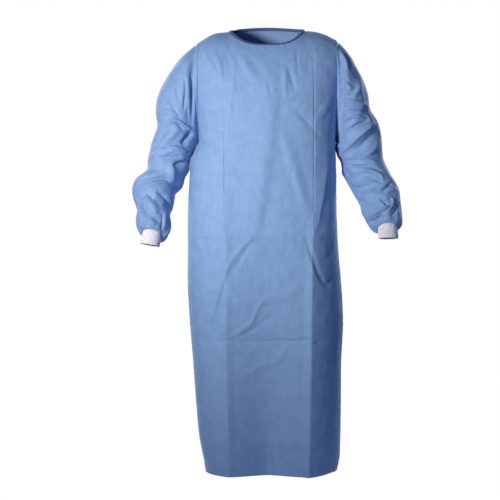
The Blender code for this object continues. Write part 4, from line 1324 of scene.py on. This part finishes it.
def waist_tie(name, start, end):
    """A tie that runs level from start to end across the back."""
    across = np.linspace(start, end, TIE_STATIONS)
    return back_strip(name, across, np.full(TIE_STATIONS, TIE_HEIGHT), TIE_WIDTH, gown_cloth, TIE_RIPPLE)


def tie_end(name, side):
    """A short end that hangs from the knot and spreads a little to its side."""
    fall = np.linspace(0, 1, TAIL_STATIONS)
    top = TIE_HEIGHT - KNOT_SIZE[2] / 2 - 0.001
    across = 0.5 + side * TAIL_START + side * TAIL_SPREAD * fall
    width = TIE_WIDTH * TIE_TAIL_SHARE
    return back_strip(name, across, top - TIE_TAIL * fall, width, gown_cloth, TAIL_RIPPLE)


tie_right = waist_tie("waist_tie_right", TIE_INSET, 0.5 - KNOT_SPAN)
tie_left = waist_tie("waist_tie_left", 0.5 + KNOT_SPAN, 1 - TIE_INSET)
tail_right = tie_end("tie_end_right", -1)
tail_left = tie_end("tie_end_left", 1)
tab_start = 0.5 - OVERLAP + TAB_INSET
tab_across = np.linspace(tab_start, tab_start + TAB_SPAN, TAB_STATIONS)
neck_tab = back_strip("neck_tab_strip", tab_across, np.full(TAB_STATIONS, TAB_HEIGHT), TAB_WIDTH, tab_cloth)


# %% Make the knot
def knot():
    """A soft ball, squashed in depth, with a band wound across it: the radius is raised in a belt
    round its middle and pinched by slanting furrows, and both poles close."""
    seat = panel_points(np.array([0.5]), np.array([down_of(TIE_HEIGHT)]), True)[0]
    rise = tie_lift(np.array([0.5]))[0] + TIE_THICK + KNOT_CLEAR + KNOT_SIZE[1] / 2
    turn = 2 * np.pi * np.arange(KNOT_TURNS) / KNOT_TURNS
    lean = np.linspace(0, np.pi, KNOT_RINGS)[:, None]
    furrow = 0.07 * np.sin(3 * turn + 4 * np.cos(lean)) * np.sin(lean) ** 2
    from_belt = np.abs(np.cos(lean))
    belt = 0.10 * np.exp(-((from_belt / 0.38) ** 2))
    belt = belt - 0.09 * np.exp(-(((from_belt - 0.52) / 0.12) ** 2))
    grain = 0.03 * np.sin(9 * turn + 7 * lean) * np.sin(lean) ** 2
    radius = 0.93 + furrow + belt + grain
    x = radius * np.cos(lean) * KNOT_SIZE[0] / 2
    y = radius * np.sin(lean) * np.cos(turn) * KNOT_SIZE[1] / 2
    z = radius * np.sin(lean) * np.sin(turn) * KNOT_SIZE[2] / 2
    shape = np.stack([x + 0 * turn, y, z], -1)
    points = shape + seat + np.array([0, rise, 0])
    return cloth_piece("waist_knot", points, shape + 1e-9, gown_cloth, 0, around=True)


tie_knot = knot()
print("knot:", tie_knot.name)

# %% [markdown]
# ## What each piece stands for
#
# Each piece takes the place of one to three plain walls and moves with the gown's only body.

# %% Ride and replace
PIECES = (
    (front, ("front_upper", "front_lower"), "gown_cloth"),
    (back_right, ("back_right_upper", "back_right_lower"), "gown_cloth"),
    (back_left, ("back_left_upper", "back_left_lower"), "gown_cloth"),
    (sleeve_right, ("sleeve_right_high", "sleeve_right_middle", "sleeve_right_low"), "gown_cloth"),
    (sleeve_left, ("sleeve_left_high", "sleeve_left_low"), "gown_cloth"),
    (cuff_right, ("cuff_right",), "cuff_knit"),
    (cuff_left, ("cuff_left",), "cuff_knit"),
    (neck_binding, ("neck_binding",), "binding_cloth"),
    (neck_tab, ("neck_tab",), "tab_cloth"),
    (tie_right, ("tie_right",), "tie_cloth"),
    (tie_left, ("tie_left",), "tie_cloth"),
    (tail_right, ("tie_tail_right",), "tie_cloth"),
    (tail_left, ("tie_tail_left",), "tie_cloth"),
    (tie_knot, ("tie_knot",), "tie_cloth"),
)
for piece, nodes, finish in PIECES:
    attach(piece, "root")
    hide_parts(*nodes)
print("pieces:", len(PIECES))

# %% [markdown]
# ## Floor, light and camera
#
# The gown hangs in a white studio. A soft, slightly warm spot lamp stands in front, on the
# wearer's right, and a narrower one beside it is aimed at the chest, so the light fades towards
# the hem. A weak one lights the far sleeve, and two lamps behind light the back and the floor.
# The world is white to the camera and a dim blue to the cloth, which keeps hollows deep and cool.

# %% Floor
FLOOR_RADIUS = 1.10
FLOOR_HEIGHT = -1.60
FLOOR_SIDES = 96
disc = bpy.data.meshes.new("floor")
rim_turn = 2 * np.pi * np.arange(FLOOR_SIDES) / FLOOR_SIDES
rim_points = np.stack([np.cos(rim_turn), np.sin(rim_turn), 0 * rim_turn], -1) * FLOOR_RADIUS
rim_points[:, 2] = FLOOR_HEIGHT
disc.from_pydata(rim_points.tolist(), [], [list(range(FLOOR_SIDES))])
floor = bpy.data.objects.new("floor", disc)
bpy.context.scene.collection.objects.link(floor)
pale, _, pale_shader = new_material("pale_floor")
pale_shader.inputs["Base Color"].default_value = (0.85, 0.85, 0.86, 1.0)
pale_shader.inputs["Roughness"].default_value = 0.7
disc.materials.append(pale)

# %% Lamps
KEY_COLOUR = (1.0, 0.90, 0.78)


def soft_spot(name, place, aim, radius, cone, power):
    """A round lamp whose light fades from the middle of its cone to nothing at the edge."""
    data = bpy.data.lights.new(name, "SPOT")
    data.shadow_soft_size = radius
    data.spot_size = np.radians(cone)
    data.spot_blend = 1.0
    data.energy = power
    data.color = KEY_COLOUR
    lamp = bpy.data.objects.new(name, data)
    lamp.location = place
    direction = np.array(aim) - np.array(place)
    heading = np.arctan2(direction[0], -direction[1])
    dip = np.arctan2(np.hypot(direction[0], direction[1]), -direction[2])
    lamp.rotation_euler = (dip, 0.0, heading + np.pi)
    bpy.context.scene.collection.objects.link(lamp)
    return lamp


key = soft_spot(
    "key", place=(-1.02, -1.72, -0.22), aim=(-0.10, 0.0, -0.32), radius=0.16, cone=68, power=122
)
chest_lamp = soft_spot(
    "chest_lamp", place=(-0.98, -1.76, -0.24), aim=(-0.04, 0.0, -0.32), radius=0.20, cone=33, power=66
)
edge_lamp = soft_spot(
    "edge_lamp", place=(1.45, -1.30, -0.55), aim=(0.40, 0.0, -0.42), radius=0.25, cone=20, power=15
)
print("lamps:", [lamp.data.energy for lamp in (key, chest_lamp, edge_lamp)], "W")


# %% Two soft lamps behind, which light the back, the sides and the floor
REAR_LIGHT = 1.7
REAR_SOFTNESS = 0.30
REAR_DIP = -70  # degrees
REAR_TURN = -29
for side, name in ((-1, "rear_lamp_right"), (1, "rear_lamp_left")):
    rear_data = bpy.data.lights.new(name, "SUN")
    rear_data.energy = REAR_LIGHT
    rear_data.angle = REAR_SOFTNESS
    rear = bpy.data.objects.new(name, rear_data)
    rear.rotation_euler = (np.radians(REAR_DIP), 0.0, np.radians(REAR_TURN) * side)
    bpy.context.scene.collection.objects.link(rear)
print("rear lamps:", REAR_LIGHT, "each")

# %% World: white to the camera, dimmer to the cloth
AMBIENT = 0.20
AMBIENT_COLOUR = (0.36, 0.55, 1.0)
world = bpy.data.worlds.new("studio")
world.use_nodes = True
bpy.context.scene.world = world
sky = world.node_tree
background = sky.nodes["Background"]
path_kind = sky.nodes.new("ShaderNodeLightPath")
glow = sky.nodes.new("ShaderNodeMix")
glow.data_type = "RGBA"
ambient_socket, white_socket = [socket for socket in glow.inputs if socket.type == "RGBA"]
ambient_socket.default_value = (*(AMBIENT * part for part in AMBIENT_COLOUR), 1.0)
white_socket.default_value = (1.0, 1.0, 1.0, 1.0)
sky.links.new(path_kind.outputs["Is Camera Ray"], glow.inputs["Factor"])
colour_out = [socket for socket in glow.outputs if socket.type == "RGBA"][0]
sky.links.new(colour_out, background.inputs["Color"])
bpy.context.scene.view_settings.view_transform = "Standard"

# %% Camera: level, in front of the gown
CAMERA_PLACE = (-0.0465, -3.6, -0.599)
HALF_VIEW = 0.68375  # half the width of the view, in metres, in the plane of the side seams
camera_data = bpy.data.cameras.new("camera")
camera_data.angle = 2 * np.arctan(HALF_VIEW / -CAMERA_PLACE[1])
camera = bpy.data.objects.new("camera", camera_data)
camera.location = CAMERA_PLACE
camera.rotation_euler = (np.pi / 2, 0.0, 0.0)
bpy.context.scene.collection.objects.link(camera)
bpy.context.scene.camera = camera
